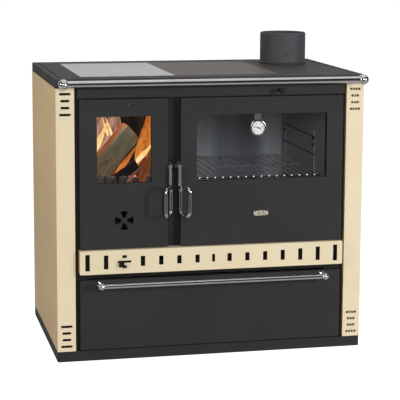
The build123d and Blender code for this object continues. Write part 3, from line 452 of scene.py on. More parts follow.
nodeFinish = {
    paints["darkDoor"]: ["base_plinth", "fascia", "fire_door_panel", "oven_door_panel", "drawer_front"],
    paints["blackFrame"]: [
        "left_stile", "right_stile", "centre_post", "head_rail", "mid_rail", "firebox_divider", "ash_shelf",
        "smoke_floor", "smoke_baffle", "fire_door_liner", "oven_door_liner", "hinge_tongues", "roller_catch",
    ],
    paints["sootAndShadeBlack"]: ["air_disc", "air_lever", "ash_pan"],
    paints["ivory"]: ["side_panel_left", "side_panel_right", "vent_strip"],
    paints["darkTop"]: ["top_frame", "flue_plate"],
    paints["pipeBlue"]: ["flue_collar"],
    ovenEnamel: ["oven_box"],
    paints["dialWhite"]: ["thermometer_dial"],
    paints["needleBlack"]: ["thermometer_needle"],
    paints["knobBlack"]: ["damper_knob"],
    chrome: ["rail", "rail_posts", "drawer_bar", "drawer_bar_posts"],
    handleChrome: ["fire_door_handle", "oven_door_handle"],
    gaugeChrome: ["thermometer_case"],
    linerPaint: ["vent_liners"],
    wireChrome: ["oven_shelf"],
    rackWire: ["oven_racks"],
    zinc: [
        "back_panel", "casing_walls", "casing_deck", "drawer_tub", "drawer_runners", "fire_glass_clips",
        "oven_glass_clips", "damper_rod",
    ],
    blackScrew: ["fixing_screws"],
    groundPlate: ["hot_plate"],
    cookPlate: ["middle_plate"],
    grateIron: ["grate", "grate_frame"],
    firebrick: ["side_firebricks", "rear_firebricks"],
    ropeGasket: ["fire_door_gasket", "oven_door_gasket"],
    firePane: ["fire_door_glass"],
    ovenPane: ["oven_door_glass"],
}
for mat, names in nodeFinish.items():
    for name in names:
        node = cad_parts[name]
        node.data.materials.clear()
        node.data.materials.append(mat)
dressed = {name for names in nodeFinish.values() for name in names}
print("materials on", len(dressed), "nodes; left", sorted(set(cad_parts) - dressed))


# Working with new pieces

def clearPick():
    if bpy.context.object and bpy.context.object.mode != "OBJECT":
        bpy.ops.object.mode_set(mode="OBJECT")
    bpy.ops.object.select_all(action="DESELECT")


def pickOnly(piece):
    clearPick()
    piece.select_set(True)
    bpy.context.view_layer.objects.active = piece


def editParts(piece, kind, chosen):
    # edit mode with only the faces or edges for which chosen(part) is true
    bpy.context.view_layer.objects.active = piece
    bpy.ops.object.mode_set(mode="EDIT")
    bpy.ops.mesh.select_mode(type=kind)
    bpy.ops.mesh.select_all(action="DESELECT")
    shape = bmesh.from_edit_mesh(piece.data)
    for part in (shape.faces if kind == "FACE" else shape.edges):
        part.select_set(chosen(part))
    bmesh.update_edit_mesh(piece.data)


def editFaces(piece, chosen):
    editParts(piece, "FACE", chosen)


def editEdges(piece, chosen):
    editParts(piece, "EDGE", chosen)


def editAll(piece):
    editFaces(piece, lambda face: True)


def sizeTo(size):
    # what is selected grows from a unit cube or disc to a size in mm
    bpy.ops.transform.resize(value=tuple(v * mm for v in size))


def moveTo(middle):
    bpy.ops.transform.translate(value=tuple(v * mm for v in middle))


def turnAll(axis):
    # a quarter turn of what is selected, about the origin
    bpy.ops.transform.rotate(value=math.pi / 2, orient_axis=axis, center_override=(0, 0, 0))


def insets(steps):
    # one inset after another: width and depth in mm
    for thickness, depth in steps:
        bpy.ops.mesh.inset(thickness=thickness * mm, depth=depth * mm)


def finishPiece(piece, name, mat, body, smooth):
    # place and turn go into the mesh, then the piece gets its finish and its body
    if piece.mode != "OBJECT":
        bpy.ops.object.mode_set(mode="OBJECT")
    pickOnly(piece)
    bpy.ops.object.transform_apply(location=True, rotation=True, scale=True)
    bpy.ops.object.shade_smooth_by_angle(angle=math.radians(smooth))
    piece.name = name
    piece.data.name = name
    piece.data.materials.clear()
    piece.data.materials.append(mat)
    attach(piece, body)
    return piece


def roughTexture(name, kind, size):
    texture = bpy.data.textures.new(name, kind)
    texture.noise_scale = size
    return texture


def roughen(piece, texture, strength, middle=0.5):
    skin = piece.modifiers.new("skin", "DISPLACE")
    skin.texture = texture
    skin.strength = strength
    skin.mid_level = middle
    skin.texture_coords = "LOCAL"


def applyAll(piece):
    pickOnly(piece)
    for modifier in list(piece.modifiers):
        bpy.ops.object.modifier_apply(modifier=modifier.name)


def layAlong(piece, middle, spin):
    piece.rotation_mode = "QUATERNION"
    piece.rotation_quaternion = spin
    piece.location = middle


def joinPieces(pieces):
    clearPick()
    for piece in pieces:
        piece.select_set(True)
    bpy.context.view_layer.objects.active = pieces[0]
    bpy.ops.object.join()
    return bpy.context.object


# Fire: split and charred logs, charcoal, embers and flames

def alongFrame(start, end):
    # the middle between two places, the turn that lays Z along them, and the length
    start, end = Vector(start) * mm, Vector(end) * mm
    return (start + end) / 2, (end - start).to_track_quat("Z", "Y"), (end - start).length


def acrossLog(angle):
    # the direction out from a log's middle line at an angle round it
    return Vector((math.cos(math.radians(angle)), math.sin(math.radians(angle)), 0))


def alongSpace(mat, middle, spin):
    # object coordinates turned so that Z runs along the log or flame
    back = spin.inverted()
    return place(mat, turn=tuple(back.to_euler()), move=tuple(-(back @ middle)))


def stretched(mat, vector, part):
    # draws a pattern out along Z
    return addNode(mat, "ShaderNodeMapping", {"Vector": vector, "Scale": (1, 1, part)}).outputs["Vector"]


def woodMaterial(name, start, end, radius, cuts, look):
    # split face with fibres along the log, bark on its round side, burnt from the low end up; a painted shadow
    # line where the bark meets the face, and painted firelight glowing on the face
    grain = dict(stretch=0.07, fibre=240.0, clouds=24.0, rind=(0.42, 0.68), burnt=(-0.45, -0.2))
    middle, spin, length = alongFrame(start, end)
    mat = newMaterial(name)
    inLog = alongSpace(mat, middle, spin)
    drawn = stretched(mat, inLog, grain["stretch"])
    fibre = noise(mat, drawn, grain["fibre"], 7.0, 0.68, 0.5)
    clouds = noise(mat, inLog, grain["clouds"], 6.0, 0.6)
    angle, away = cuts[0]
    out = addNode(mat, "ShaderNodeVectorMath", {0: inLog, 1: acrossLog(angle)}, operation="DOT_PRODUCT")
    deep = calc(mat, "DIVIDE", out.outputs["Value"], away * radius * mm)
    rind = spread(mat, deep, *grain["rind"], 1.0, 0.0)
    # painted shadow: a dark line along the seam between the bark and the split face
    seamShadow = times(mat, spread(mat, deep, 0.66, 0.76), spread(mat, deep, 0.94, 0.8))
    face = blendColour(mat, spread(mat, clouds, 0.4, 0.6), look["face"], look["warm"])
    face = blendColour(mat, spread(mat, fibre, 0.34, 0.66, 0.0, 0.75), face, look["fibre"])
    bark = blendColour(mat, spread(mat, fibre, 0.36, 0.62), look["barkLow"], look["bark"])
    tint = blendColour(mat, rind, face, bark)
    tint = blendColour(mat, times(mat, seamShadow, 0.8), tint, look["char"])
    ragged = calc(mat, "ADD", axesOf(mat, inLog)["Z"], times(mat, clouds, 0.06))
    low = spread(mat, ragged, *(part * length for part in grain["burnt"]), 1.0, 0.0)
    burnt = calc(mat, "MAXIMUM", times(mat, low, 0.45), spread(mat, clouds, 0.6, 0.7, 0.0, look["soot"]))
    barkLight = times(mat, times(mat, rind, spread(mat, fibre, 0.35, 0.6)), look["power"])
    # painted light: the split face glows a little, for the firelight falling on it
    faceLight = times(mat, opposite(mat, rind), look["light"])
    feed(mat, surface(mat), {
        "Base Color": blendColour(mat, burnt, tint, look["char"]),
        "Roughness": 0.85,
        "Specular IOR Level": 0.2,
        "Emission Color": blendColour(mat, rind, tint, look["glow"]),
        "Emission Strength": calc(mat, "ADD", barkLight, faceLight),
        "Normal": bumps(mat, calc(mat, "ADD", fibre, clouds), 0.6, 0.002),
    })
    return mat


# light: painted firelight, how strongly each split face glows
woodLooks = {
    "split": dict(face=srgb(110, 122, 106), warm=srgb(148, 126, 106), fibre=srgb(74, 76, 66),
                  bark=srgb(150, 84, 46), barkLow=srgb(70, 32, 16), char=srgb(20, 14, 11), soot=0.5,
                  glow=(0.8, 0.24, 0.07), power=0.22, light=0.14),
    "burnt": dict(face=srgb(10, 7, 6), warm=srgb(16, 10, 8), fibre=srgb(12, 9, 8),
                  bark=srgb(26, 18, 14), barkLow=srgb(12, 10, 9), char=srgb(8, 7, 7), soot=0.8,
                  glow=(0.8, 0.12, 0.02), power=0.0, light=0.0),
    "behind": dict(face=srgb(96, 66, 44), warm=srgb(120, 76, 44), fibre=srgb(60, 40, 26),
                   bark=srgb(110, 60, 30), barkLow=srgb(50, 26, 14), char=srgb(20, 14, 11), soot=0.6,
                   glow=(0.8, 0.2, 0.04), power=0.25, light=0.2),
}

roughBark = roughTexture("roughBark", "CLOUDS", 0.03)


def splitLog(name, start, end, radius, cuts, look, skin=4.0):
    # a round of wood with a rough skin, split by planes along its length: each cut is an angle round the log
    # and a share of its radius
    middle, spin, length = alongFrame(start, end)
    clearPick()
    bpy.ops.mesh.primitive_cylinder_add(vertices=20, radius=radius * mm, depth=length)
    log = bpy.context.object
    editEdges(log, lambda edge: abs(edge.verts[0].co.z - edge.verts[1].co.z) > length / 2)
    bpy.ops.mesh.subdivide(number_cuts=16)
    for angle, away in cuts:
        side = acrossLog(angle)
        bpy.ops.mesh.select_all(action="SELECT")
        bpy.ops.mesh.bisect(plane_co=side * away * radius * mm, plane_no=side, use_fill=True, clear_outer=True)
    bpy.ops.mesh.select_all(action="SELECT")
    bpy.ops.mesh.quads_convert_to_tris()
    bpy.ops.object.mode_set(mode="OBJECT")
    log.modifiers.new("body", "REMESH").voxel_size = 0.0028
    roughen(log, roughBark, skin * mm)
    applyAll(log)
    layAlong(log, middle, spin)
    wood = woodMaterial(name + "Wood", start, end, radius, cuts, woodLooks[look])
    return finishPiece(log, name, wood, "root", 40)


logs = {
    "splitLogLeaning": dict(start=(-352, -208, 545), end=(-226, -165, 679), radius=38,
                            cuts=[(188, 0.42), (285, 0.8)], look="split"),
    "charredLogUnder": dict(start=(-296, -232, 538), end=(-218, -208, 584), radius=17,
                            cuts=[(185, 0.5), (60, 0.7)], look="burnt", skin=5.0),
    "splitLogBehind": dict(start=(-380, -60, 520), end=(-190, -20, 548), radius=28,
                           cuts=[(90, 0.5)], look="behind", skin=6.0),
    "charredLogRight": dict(start=(-196, -200, 516), end=(-176, -150, 604), radius=17,
                            cuts=[(200, 0.5)], look="behind", skin=6.0),
    "charredLogRear": dict(start=(-330, 80, 512), end=(-230, 20, 560), radius=30,
                           cuts=[(120, 0.5)], look="burnt", skin=8.0),
}
for name, shape in logs.items():
    splitLog(name, **shape)


def glowMaterial():
    look = {"ember": (1.0, 0.22, 0.03), "ash": srgb(150, 140, 130), "coal": srgb(22, 18, 16), "power": 5.0}
    mat = newMaterial("embers")
    lumps = noise(mat, place(mat), 55.0, 6.0, 0.65)
    ash = spread(mat, noise(mat, place(mat), 24.0, 4.0), 0.4, 0.6)
    feed(mat, surface(mat), {
        "Base Color": blendColour(mat, ash, look["coal"], look["ash"]),
        "Roughness": 0.95,
        "Emission Color": (*look["ember"], 1),
        "Emission Strength": spread(mat, lumps, 0.52, 0.66, 0.0, look["power"]),
        "Normal": bumps(mat, lumps, 0.9, 0.006),
    })
    return mat


def charcoalMaterial():
    # cracked charcoal dusted with grey ash
    look = {"coal": srgb(100, 99, 98), "ash": srgb(138, 136, 132), "crack": srgb(14, 13, 13)}
    mat = newMaterial("charcoal")
    net = {"Vector": place(mat), "Scale": 140.0}
    plates = addNode(mat, "ShaderNodeTexVoronoi", net, feature="DISTANCE_TO_EDGE").outputs["Distance"]
    cracks = spread(mat, plates, 0.0, 0.14, 1.0, 0.0)
    dust = spread(mat, noise(mat, place(mat), 70.0, 6.0, 0.65), 0.52, 0.7)
    tint = blendColour(mat, dust, look["coal"], look["ash"])
    feed(mat, surface(mat), {
        "Base Color": blendColour(mat, cracks, tint, look["crack"]),
        "Roughness": 0.9,
        "Normal": bumps(mat, plates, 0.5, 0.003),
    })
    return mat


def charcoalLumps():
    # a row of cracked lumps in front of the logs: middle, width and height of each
    row = dict(deep=26, round=4, taper=(0.72, 0.6, 1.0), crumble=7, lumps=[
        (-345, -240, 522, 38, 62), (-304, -244, 522, 44, 64), (-266, -240, 521, 27, 62),
        (-227, -244, 520, 28, 60), (-184, -240, 521, 26, 62),
    ])
    crumbs = roughTexture("crumbs", "VORONOI", 0.02)
    lumps = []
    for x, y, z, wide, tall in row["lumps"]:
        clearPick()
        bpy.ops.mesh.primitive_cube_add(size=1.0)
        lump = bpy.context.object
        editAll(lump)
        sizeTo((wide, row["deep"], tall))
        editFaces(lump, lambda face: face.normal.z > 0.9)
        bpy.ops.transform.resize(value=row["taper"])
        editEdges(lump, lambda edge: True)
        bpy.ops.mesh.bevel(offset=row["round"] * mm, segments=2, affect="EDGES")
        bpy.ops.mesh.select_all(action="SELECT")
        bpy.ops.mesh.subdivide(number_cuts=5)
        moveTo((x, y, z))
        bpy.ops.object.mode_set(mode="OBJECT")
        roughen(lump, crumbs, row["crumble"] * mm)
        applyAll(lump)
        lumps.append(lump)
    return finishPiece(joinPieces(lumps), "charcoalLumps", charcoal, "root", 50)


def emberBed():
    bed = dict(middle=(-281, -50, 496), size=(210, 380, 12), lump=18, lift=22, skin=3)
    clearPick()
    bpy.ops.mesh.primitive_grid_add(x_subdivisions=60, y_subdivisions=90, size=1.0)
    heap = bpy.context.object
    editAll(heap)
    sizeTo(bed["size"])
    bpy.ops.object.mode_set(mode="OBJECT")
    roughen(heap, roughTexture("emberLumps", "CLOUDS", bed["lump"] * mm), bed["lift"] * mm, 0.1)
    heap.modifiers.new("wall", "SOLIDIFY").thickness = bed["skin"] * mm
    applyAll(heap)
    heap.location = Vector(bed["middle"]) * mm
    return finishPiece(heap, "emberBed", embers, "root", 50)


embers = glowMaterial()
charcoal = charcoalMaterial()
charcoalLumps()
emberBed()


def flameMaterial(name, foot, tip, look):
    # glowing gas: nearly solid at its heart, clear at its edges, redder and thinner towards the tip
    middle, spin, length = alongFrame(foot, tip)
    mat = bareMaterial(name)
    inFlame = alongSpace(mat, middle, spin)
    streaks = noise(mat, stretched(mat, inFlame, 0.22), 70.0, 5.0, 0.6, 1.0)
    risen = spread(mat, axesOf(mat, inFlame)["Z"], -0.5 * length, 0.5 * length)
    tint = blendColour(mat, spread(mat, streaks, 0.36, 0.6), look["rim"], look["core"])
    tint = blendColour(mat, times(mat, risen, look["fade"]), tint, look["rim"])
    glow = addNode(mat, "ShaderNodeEmission", {"Color": tint, "Strength": look["power"]}).outputs[0]
    clear = addNode(mat, "ShaderNodeBsdfTransparent").outputs[0]
    slant = addNode(mat, "ShaderNodeLayerWeight", {"Blend": 0.5}).outputs["Facing"]
    solid = opposite(mat, calc(mat, "POWER", slant, look["edge"]))
    thick = times(mat, solid, spread(mat, streaks, 0.28, 0.5, look["thin"], 1.0))
    thick = times(mat, thick, spread(mat, risen, 0.82, 1.0, 1.0, 0.0))
    return showShader(mat, mixShaders(mat, thick, clear, glow))


flameLooks = {
    "orange": dict(core=(0.95, 0.34, 0.06), rim=(0.5, 0.1, 0.015), power=0.88, fade=0.25, edge=1.6, thin=0.45),
    "dim": dict(core=(0.30, 0.09, 0.02), rim=(0.12, 0.03, 0.01), power=0.8, fade=0.3, edge=1.2, thin=0.3),
    "yellow": dict(core=(1.0, 0.88, 0.52), rim=(1.0, 0.50, 0.10), power=1.3, fade=0.35, edge=2.0, thin=0.7),
    "violet": dict(core=(0.30, 0.17, 0.20), rim=(0.10, 0.05, 0.06), power=0.8, fade=0.3, edge=1.4, thin=0.4),
    "pink": dict(core=(1.0, 0.58, 0.40), rim=(0.26, 0.09, 0.11), power=0.72, fade=0.1, edge=2.2, thin=0.6),
}

flameRuffle = roughTexture("flameRuffle", "CLOUDS", 0.04)

# how wide a tongue is at each share of its height
flameProfile = [
    (0.0, 0.35), (0.12, 0.78), (0.28, 1.0), (0.46, 0.92), (0.62, 0.7), (0.78, 0.42), (0.91, 0.18), (1.0, 0.04),
]


def flameTongue(name, foot, tip, width, look, sway=0.25, phase=0.0):
    # a ring drawn up in steps, swaying, swelling and then narrowing to a point
    middle, spin, length = alongFrame(foot, tip)
    first = flameProfile[0][1]
    clearPick()
    bpy.ops.mesh.primitive_circle_add(vertices=12, radius=width / 2 * mm, fill_type="NGON")
    tongue = bpy.context.object
    editAll(tongue)
    bpy.ops.transform.translate(value=(0, 0, -length / 2))
    bpy.ops.transform.resize(value=(0.3 * first, first, 1.0), center_override=(0, 0, -length / 2))
    side = 0.0
    for (low, narrow), (high, wide) in zip(flameProfile, flameProfile[1:]):
        swung = sway * width * mm * (math.sin(2 * math.pi * high + phase) - math.sin(phase)) * 0.5
        step = (0, swung - side, (high - low) * length)
        bpy.ops.mesh.extrude_region_move(TRANSFORM_OT_translate={"value": step})
        ratio = wide / narrow
        bpy.ops.transform.resize(value=(ratio, ratio, 1.0), center_override=(0, swung, (high - 0.5) * length))
        side = swung
    bpy.ops.mesh.select_all(action="SELECT")
    bpy.ops.mesh.normals_make_consistent(inside=False)
    bpy.ops.object.mode_set(mode="OBJECT")
    tongue.modifiers.new("round", "SUBSURF").levels = 3
    roughen(tongue, flameRuffle, width * 0.3 * mm)
    applyAll(tongue)
    layAlong(tongue, middle, spin)
    gas = flameMaterial(name + "Gas", foot, tip, flameLooks[look])
    return finishPiece(tongue, name, gas, "root", 80)


flames = {
    "flameBackLeft": dict(foot=(-332, -120, 590), tip=(-312, -120, 780), width=62, look="pink", sway=0.2),
    "flameBackMiddle": dict(foot=(-296, -110, 600), tip=(-280, -110, 782),
                            width=58, look="pink", sway=0.3, phase=1.5),
    "flameLeftStreak": dict(foot=(-348, -170, 600), tip=(-296, -155, 716), width=24, look="yellow", sway=0.2),
    "flameThinStreak": dict(foot=(-280, -150, 655), tip=(-304, -150, 728), width=9, look="yellow", sway=0.1),
    "flameThinLeft": dict(foot=(-294, -152, 662), tip=(-314, -152, 724),
                          width=8, look="yellow", sway=0.1, phase=2.0),
    "flameRightTall": dict(foot=(-214, -190, 574), tip=(-164, -190, 800),
                           width=34, look="orange", sway=0.3, phase=0.6),
    "flameRightEdge": dict(foot=(-178, -184, 590), tip=(-158, -184, 806),
                           width=30, look="orange", sway=0.1, phase=2.4),
    "flameRightStreak": dict(foot=(-226, -212, 582), tip=(-158, -212, 656), width=17, look="yellow", sway=0.1),
    "flameUnderLog": dict(foot=(-288, -224, 553), tip=(-206, -188, 646),
                          width=20, look="orange", sway=0.15, phase=1.0),
    "flameLowRight": dict(foot=(-196, -215, 520), tip=(-166, -190, 650), width=46, look="dim", sway=0.2),
    "flameLowStreak": dict(foot=(-254, -240, 532), tip=(-200, -234, 590), width=9, look="violet", sway=0.1),
}
for name, shape in flames.items():
    flameTongue(name, **shape)
print("logs, charcoal, embers and flames made")


# Bare oval plate and a small screw on the doors

doorFront = -306.0


def turnedPlate(sides, width, thickness, middle):
    # a round blank with its flat front towards the viewer
    clearPick()
    bpy.ops.mesh.primitive_cylinder_add(vertices=sides, radius=0.5, depth=1.0)
    blank = bpy.context.object
    editAll(blank)
    sizeTo((width, width, thickness))
    turnAll("X")
    moveTo(middle)
    return blank


def frontFace(face):
    return face.normal.y < -0.9 and len(face.verts) > 8


def bevelBefore(piece, front, width, segments):
    # rounds the edges that lie wholly in front of a place
    editEdges(piece, lambda edge: all(v.co.y < front * mm for v in edge.verts))
    bpy.ops.mesh.bevel(offset=width * mm, segments=segments, affect="EDGES")


def badgeMaterial(badge):
    # plain hammered field of pale brass in a dark rim
    look = {"brass": srgb(240, 232, 214), "low": srgb(74, 60, 42), "rim": srgb(40, 34, 30), "square": 3.4}
    mat = newMaterial("badgeMetal")
    wide, tall = badge["width"] / 2 - badge["rim"], badge["height"] / 2 - badge["rim"] - 1.2
    near = axesOf(mat, place(mat, scale=(1 / (wide * mm), 0, 1 / (tall * mm)),
                             move=(-badge["x"] / wide, 0, -badge["z"] / tall)))
    far = calc(mat, "ADD", *(
        calc(mat, "POWER", calc(mat, "ABSOLUTE", near[axis]), look["square"]) for axis in ("X", "Z")
    ))
    field = spread(mat, far, 0.9, 1.05, 1.0, 0.0)
    dimples = noise(mat, place(mat), 420.0, 2.0, 0.5)
    brass = blendColour(mat, spread(mat, dimples, 0.45, 0.55), look["low"], look["brass"])
    feed(mat, surface(mat), {
        "Base Color": blendColour(mat, field, look["rim"], brass),
        "Metallic": times(mat, field, 0.3),
        "Roughness": spread(mat, dimples, 0.3, 0.7, 0.5, 0.34),
        "Normal": bumps(mat, dimples, 0.4, 0.0008),
    })
    return mat


def badgePlate():
    badge = dict(x=149.5, z=436, width=54, height=25, thickness=2.4, rim=3.6, sink=0.7, corner=9.0, round=0.6)
    clearPick()
    bpy.ops.mesh.primitive_cube_add(size=1.0)
    plate = bpy.context.object
    editAll(plate)
    sizeTo((badge["width"], badge["thickness"], badge["height"]))
    moveTo((badge["x"], doorFront - badge["thickness"] / 2 + 0.02, badge["z"]))
    editEdges(plate, lambda edge: abs(edge.verts[0].co.y - edge.verts[1].co.y) > mm)
    bpy.ops.mesh.bevel(offset=badge["corner"] * mm, segments=10, affect="EDGES")
    bevelBefore(plate, doorFront - badge["thickness"] + 0.1, badge["round"], 3)
    editFaces(plate, frontFace)
    insets([(badge["rim"] - badge["round"], 0), (0.4, -badge["sink"])])
    return finishPiece(plate, "badgePlate", badgeMaterial(badge), "oven_door", 35)


def paneScrew():
    # domed head with a round drive recess above the fire window
    screw = dict(x=-260.5, z=774.5, width=11, height=3.0, round=2.0, socket=((1.3, 0), (0.2, -1.2)))
    middle = (screw["x"], doorFront - screw["height"] / 2 + 0.02, screw["z"])
    head = turnedPlate(40, screw["width"], screw["height"], middle)
    bevelBefore(head, doorFront - screw["height"] + 0.1, screw["round"], 5)
    editFaces(head, frontFace)
    insets(screw["socket"])
    return finishPiece(head, "paneScrew", blackScrew, "fire_door", 35)


badgePlate()
paneScrew()


# Oven fittings: weld caps on the shelf rods and bolts on the racks

def copyMoved(piece, offset):
    other = piece.copy()
    other.data = piece.data.copy()
    bpy.context.scene.collection.objects.link(other)
    other.location = Vector(other.location) + Vector(offset) * mm
    return other


def shelfWelds():
    row = dict(first=-32, pitch=24.35, count=16, y=-261.7, z=542.5, width=4.2, depth=3.0, round=1.3)
    cap = turnedPlate(16, row["width"], row["depth"], (row["first"], row["y"], row["z"]))
    bevelBefore(cap, row["y"] - row["depth"] / 2 + 0.1, row["round"], 4)
    bpy.ops.object.mode_set(mode="OBJECT")
    caps = [cap] + [copyMoved(cap, (row["pitch"] * i, 0, 0)) for i in range(1, row["count"])]
    return finishPiece(joinPieces(caps), "shelfWelds", weldCap, "root", 50)


def rackBolts():
    # dome nuts that hold the rack uprights, the same on the right and the left wall
    nut = dict(radius=4.6, depth=4.4, dome=((0.9, 0.6), (0.5, 1.2), (1.0, 0.6)))
    spots = [(x, y, z) for x in (356.4, -56.4) for y, z in ((-168, 643), (-168, 622), (156, 630))]
    nuts = []
    for x, y, z in spots:
        hand = -1 if x > 0 else 1
        clearPick()
        bpy.ops.mesh.primitive_cylinder_add(vertices=6, radius=nut["radius"] * mm, depth=nut["depth"] * mm)
        piece = bpy.context.object
        editAll(piece)
        turnAll("Y")
        editFaces(piece, lambda face: face.normal.x * hand > 0.9)
        insets(nut["dome"])
        bpy.ops.mesh.select_all(action="SELECT")
        moveTo((x, y, z))
        bpy.ops.object.mode_set(mode="OBJECT")
        nuts.append(piece)
    return finishPiece(joinPieces(nuts), "rackBolts", blackScrew, "root", 35)


# painted highlight: the weld caps are white and glow by themselves, for the bright glints at the front of the
# shelf
weldCap = selfLit(polished("weldCap", (0.98, 0.98, 0.98), 0.3, 500.0, metal=0.0, smudge=0.1, depth=0.05), 0.9)
shelfWelds()
rackBolts()


# Thermometer: scale marks, plain numbers and a clear lens

# the scale runs from its first angle clockwise over its span, from 0 up to its top number
gauge = dict(x=138, z=698.5, face=-306.0, first=225, span=270, top=500)
marks = dict(outer=20.2, long=16.6, short=18.2, wide=0.9, narrow=0.4, thick=0.12,
             numbers=12.6, size=4.6, raised=0.05)


def onDial(angle, reach):
    turn = math.radians(angle)
    across, up = gauge["x"] + reach * math.cos(turn), gauge["z"] + reach * math.sin(turn)
    return Vector((across, gauge["face"] - 0.1, up)) * mm


def dialMark(angle, inner, outer, wide):
    # a slightly tapered bar pointing at the middle of the dial
    clearPick()
    bpy.ops.mesh.primitive_cube_add(size=1.0)
    bar = bpy.context.object
    editAll(bar)
    sizeTo((outer - inner, marks["thick"], wide))
    editFaces(bar, lambda face: face.normal.x < -0.9)
    bpy.ops.transform.resize(value=(1.0, 1.0, 0.6))
    bpy.ops.object.mode_set(mode="OBJECT")
    bar.rotation_euler = (0, -math.radians(angle), 0)
    bar.location = onDial(angle, (inner + outer) / 2)
    return bar


def dialNumber(value, angle):
    clearPick()
    bpy.ops.object.text_add(rotation=(math.pi / 2, 0, 0), location=onDial(angle, marks["numbers"]))
    number = bpy.context.object
    number.data.body = str(value)
    number.data.size = marks["size"] * mm
    number.data.extrude = marks["raised"] * mm
    number.data.align_x = "CENTER"
    number.data.align_y = "CENTER"
    bpy.ops.object.convert(target="MESH")
    return bpy.context.object


def dialMarks():
    parts = []
    for value in range(0, gauge["top"] + 1, 10):
        angle = gauge["first"] - gauge["span"] * value / gauge["top"]
        inner, width = (marks["long"], marks["wide"]) if value % 50 == 0 else (marks["short"], marks["narrow"])
        parts.append(dialMark(angle, inner, marks["outer"], width))
        if value % 100 == 0:
            parts.append(dialNumber(value, angle))
    for part in parts:
        pickOnly(part)
        bpy.ops.object.transform_apply(location=True, rotation=True, scale=True)
    return finishPiece(joinPieces(parts), "dialMarks", dialInk, "oven_door", 30)


def dialLens():
    lens = dict(width=41.6, thickness=1.2, y=-309.6, dome=((4.0, 0.7), (5.0, 0.45), (5.0, 0.2)))
    piece = turnedPlate(64, lens["width"], lens["thickness"], (gauge["x"], lens["y"], gauge["z"]))
    editFaces(piece, frontFace)
    insets(lens["dome"])
    return finishPiece(piece, "dialLens", dialGlass, "oven_door", 60)


def gaugeRing():
    # pressed rim round the dial: a flattened hoop, grooved in front
    rim = dict(radius=23.3, thickness=2.6, flat=0.6, y=-309.5, groove=(0.4, -0.6))
    clearPick()
    bpy.ops.mesh.primitive_torus_add(major_radius=rim["radius"] * mm, minor_radius=rim["thickness"] * mm,
                                     major_segments=72, minor_segments=16)
    ring = bpy.context.object
    editAll(ring)
    bpy.ops.transform.resize(value=(1.0, 1.0, rim["flat"]))
    turnAll("X")
    moveTo((gauge["x"], rim["y"], gauge["z"]))
    editFaces(ring, lambda face: face.normal.y < -0.8)
    insets([rim["groove"]])
    return finishPiece(ring, "gaugeRing", gaugeRim, "oven_door", 40)


dialGlass = paneMaterial("dialGlass", (0.97, 0.97, 0.97), 0.0)
dialInk = paint("dialInk", srgb(84, 84, 82), srgb(98, 98, 95), 0.5, 500.0, 0.0)
gaugeRim = plated("gaugeRim", 0.42, 0.1)
dialMarks()
dialLens()
gaugeRing()
print("badge, screw, oven fittings and dial made")


# Camera at the photograph's viewing angle

def addCamera():
    view = dict(place=(-1.0313, -4.6388, 1.2721), yaw=12.871, pitch=8.539, roll=0.282, lens=134.47, shift=-0.1)
    lens = bpy.data.cameras.new("viewCamera")
    camera = bpy.data.objects.new("viewCamera", lens)
    bpy.context.scene.collection.objects.link(camera)
    yaw, pitch, roll = (math.radians(view[key]) for key in ("yaw", "pitch", "roll"))
    ahead = Vector((math.sin(yaw) * math.cos(pitch), math.cos(yaw) * math.cos(pitch), -math.sin(pitch)))
    right = Vector((math.cos(yaw), -math.sin(yaw), 0))
    up = right.cross(ahead)
    tiltedRight = math.cos(roll) * right + math.sin(roll) * up
    tiltedUp = math.cos(roll) * up - math.sin(roll) * right
    turn = Matrix((tiltedRight, tiltedUp, -ahead)).transposed().to_4x4()
    camera.matrix_world = Matrix.Translation(view["place"]) @ turn
    lens.sensor_width = 36
    lens.lens = view["lens"]
    lens.shift_y = view["shift"]
    lens.clip_end = 100
    bpy.context.scene.camera = camera


addCamera()


# Studio: pale floor, soft lamps and a white surround

def seenBy(mat):
    # 1 where the camera looks at it, and 1 where a mirror or a pane does
    rays = addNode(mat, "ShaderNodeLightPath").outputs
    return rays["Is Camera Ray"], calc(mat, "MAXIMUM", rays["Is Glossy Ray"], rays["Is Transmission Ray"])


def floorMaterial():
    # white paper in a wide pool of light; past it the room's floor is dark in reflections
    look = {"paper": 0.5, "room": 0.1, "lift": 0.86, "mirror": 0.06, "near": 1.0, "far": 1.8}
    mat = bareMaterial("studioFloor")
    ahead = times(mat, axesOf(mat, byObject(mat))["Y"], -1.0)
    room = spread(mat, ahead, look["near"], look["far"])
    paper = blendColour(mat, room, (look["paper"],) * 3, (look["room"],) * 3)
    matt = addNode(mat, "ShaderNodeBsdfDiffuse", {"Color": paper}).outputs[0]
    direct, mirrored = seenBy(mat)
    reflected = times(mat, times(mat, mirrored, look["mirror"]), opposite(mat, room))
    strength = calc(mat, "ADD", times(mat, direct, look["lift"]), reflected)
    white = addNode(mat, "ShaderNodeEmission", {"Color": (1, 1, 1, 1), "Strength": strength}).outputs[0]
    return showShader(mat, addNode(mat, "ShaderNodeAddShader", {0: matt, 1: white}).outputs[0])


def addFloor():
    clearPick()
    bpy.ops.mesh.primitive_plane_add(size=40)
    floor = bpy.context.object
    floor.name = "studioFloor"
    floor.data.materials.append(floorMaterial())


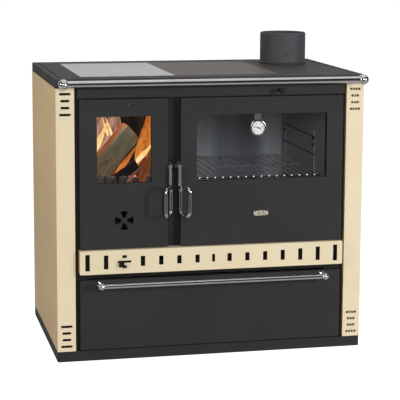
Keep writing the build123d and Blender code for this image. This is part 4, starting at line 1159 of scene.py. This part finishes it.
def addLamp(name, spot, aim, size, power, tint=(1, 1, 1)):
    lamp = bpy.data.lights.new(name, "AREA")
    lamp.shape = "RECTANGLE"
    lamp.size, lamp.size_y = size
    lamp.energy = power
    lamp.color = tint
    holder = bpy.data.objects.new(name, lamp)
    bpy.context.scene.collection.objects.link(holder)
    holder.location = spot
    holder.rotation_euler = (Vector(aim) - Vector(spot)).to_track_quat("-Z", "Y").to_euler()


lamps = {
    "keyRight": dict(spot=(2.5, -3.2, 1.25), aim=(0, -0.3, 0.5), size=(0.35, 1.2), power=71),
    "fillFront": dict(spot=(-0.7, -4.6, 1.7), aim=(0, -0.3, 0.5), size=(0.5, 1.3), power=52),
    "fireTop": dict(spot=(-0.265, -0.25, 0.81), aim=(-0.285, -0.19, 0.60), size=(0.10, 0.05), power=0.6,
                    tint=(1.0, 0.97, 0.9)),
    "fireGlow": dict(spot=(-0.30, -0.02, 0.56), aim=(-0.30, -0.12, 0.75), size=(0.08, 0.05), power=0.2,
                     tint=(1.0, 0.42, 0.14)),
    "rimLeft": dict(spot=(-3.0, -1.7, 1.45), aim=(-0.475, 0, 0.7), size=(0.22, 1.3), power=25,
                    tint=(1.0, 0.92, 0.78)),
    "overhead": dict(spot=(0.2, -0.2, 3.0), aim=(0, 0, 0.8), size=(4.6, 3.6), power=44),
}
for name, lamp in lamps.items():
    addLamp(name, **lamp)


def addSurround():
    # the room on the viewer's side is dark in reflections, the backdrop white
    air = dict(light=0.34, behind=0.62, room=0.03, turnsFrom=0.2, turnsTo=0.85)
    world = bpy.data.worlds.new("studio")
    bpy.context.scene.world = world
    world.use_nodes = True
    direct, mirrored = seenBy(world)
    heading = axesOf(world, addNode(world, "ShaderNodeTexCoord").outputs["Generated"])["Y"]
    backdrop = addNode(world, "ShaderNodeMapRange", {
        "Value": heading, "From Min": air["turnsFrom"], "From Max": air["turnsTo"],
        "To Min": air["room"], "To Max": air["behind"],
    }, interpolation_type="SMOOTHSTEP").outputs["Result"]
    light = mixValue(world, mirrored, air["light"], backdrop)
    strength = mixValue(world, direct, light, 1.0)
    feed(world, world.node_tree.nodes["Background"], {"Strength": strength, "Color": (1, 1, 1, 1)})


addFloor()
addSurround()
bpy.context.scene.view_settings.view_transform = "Standard"
print("camera, lamps and floor ready")
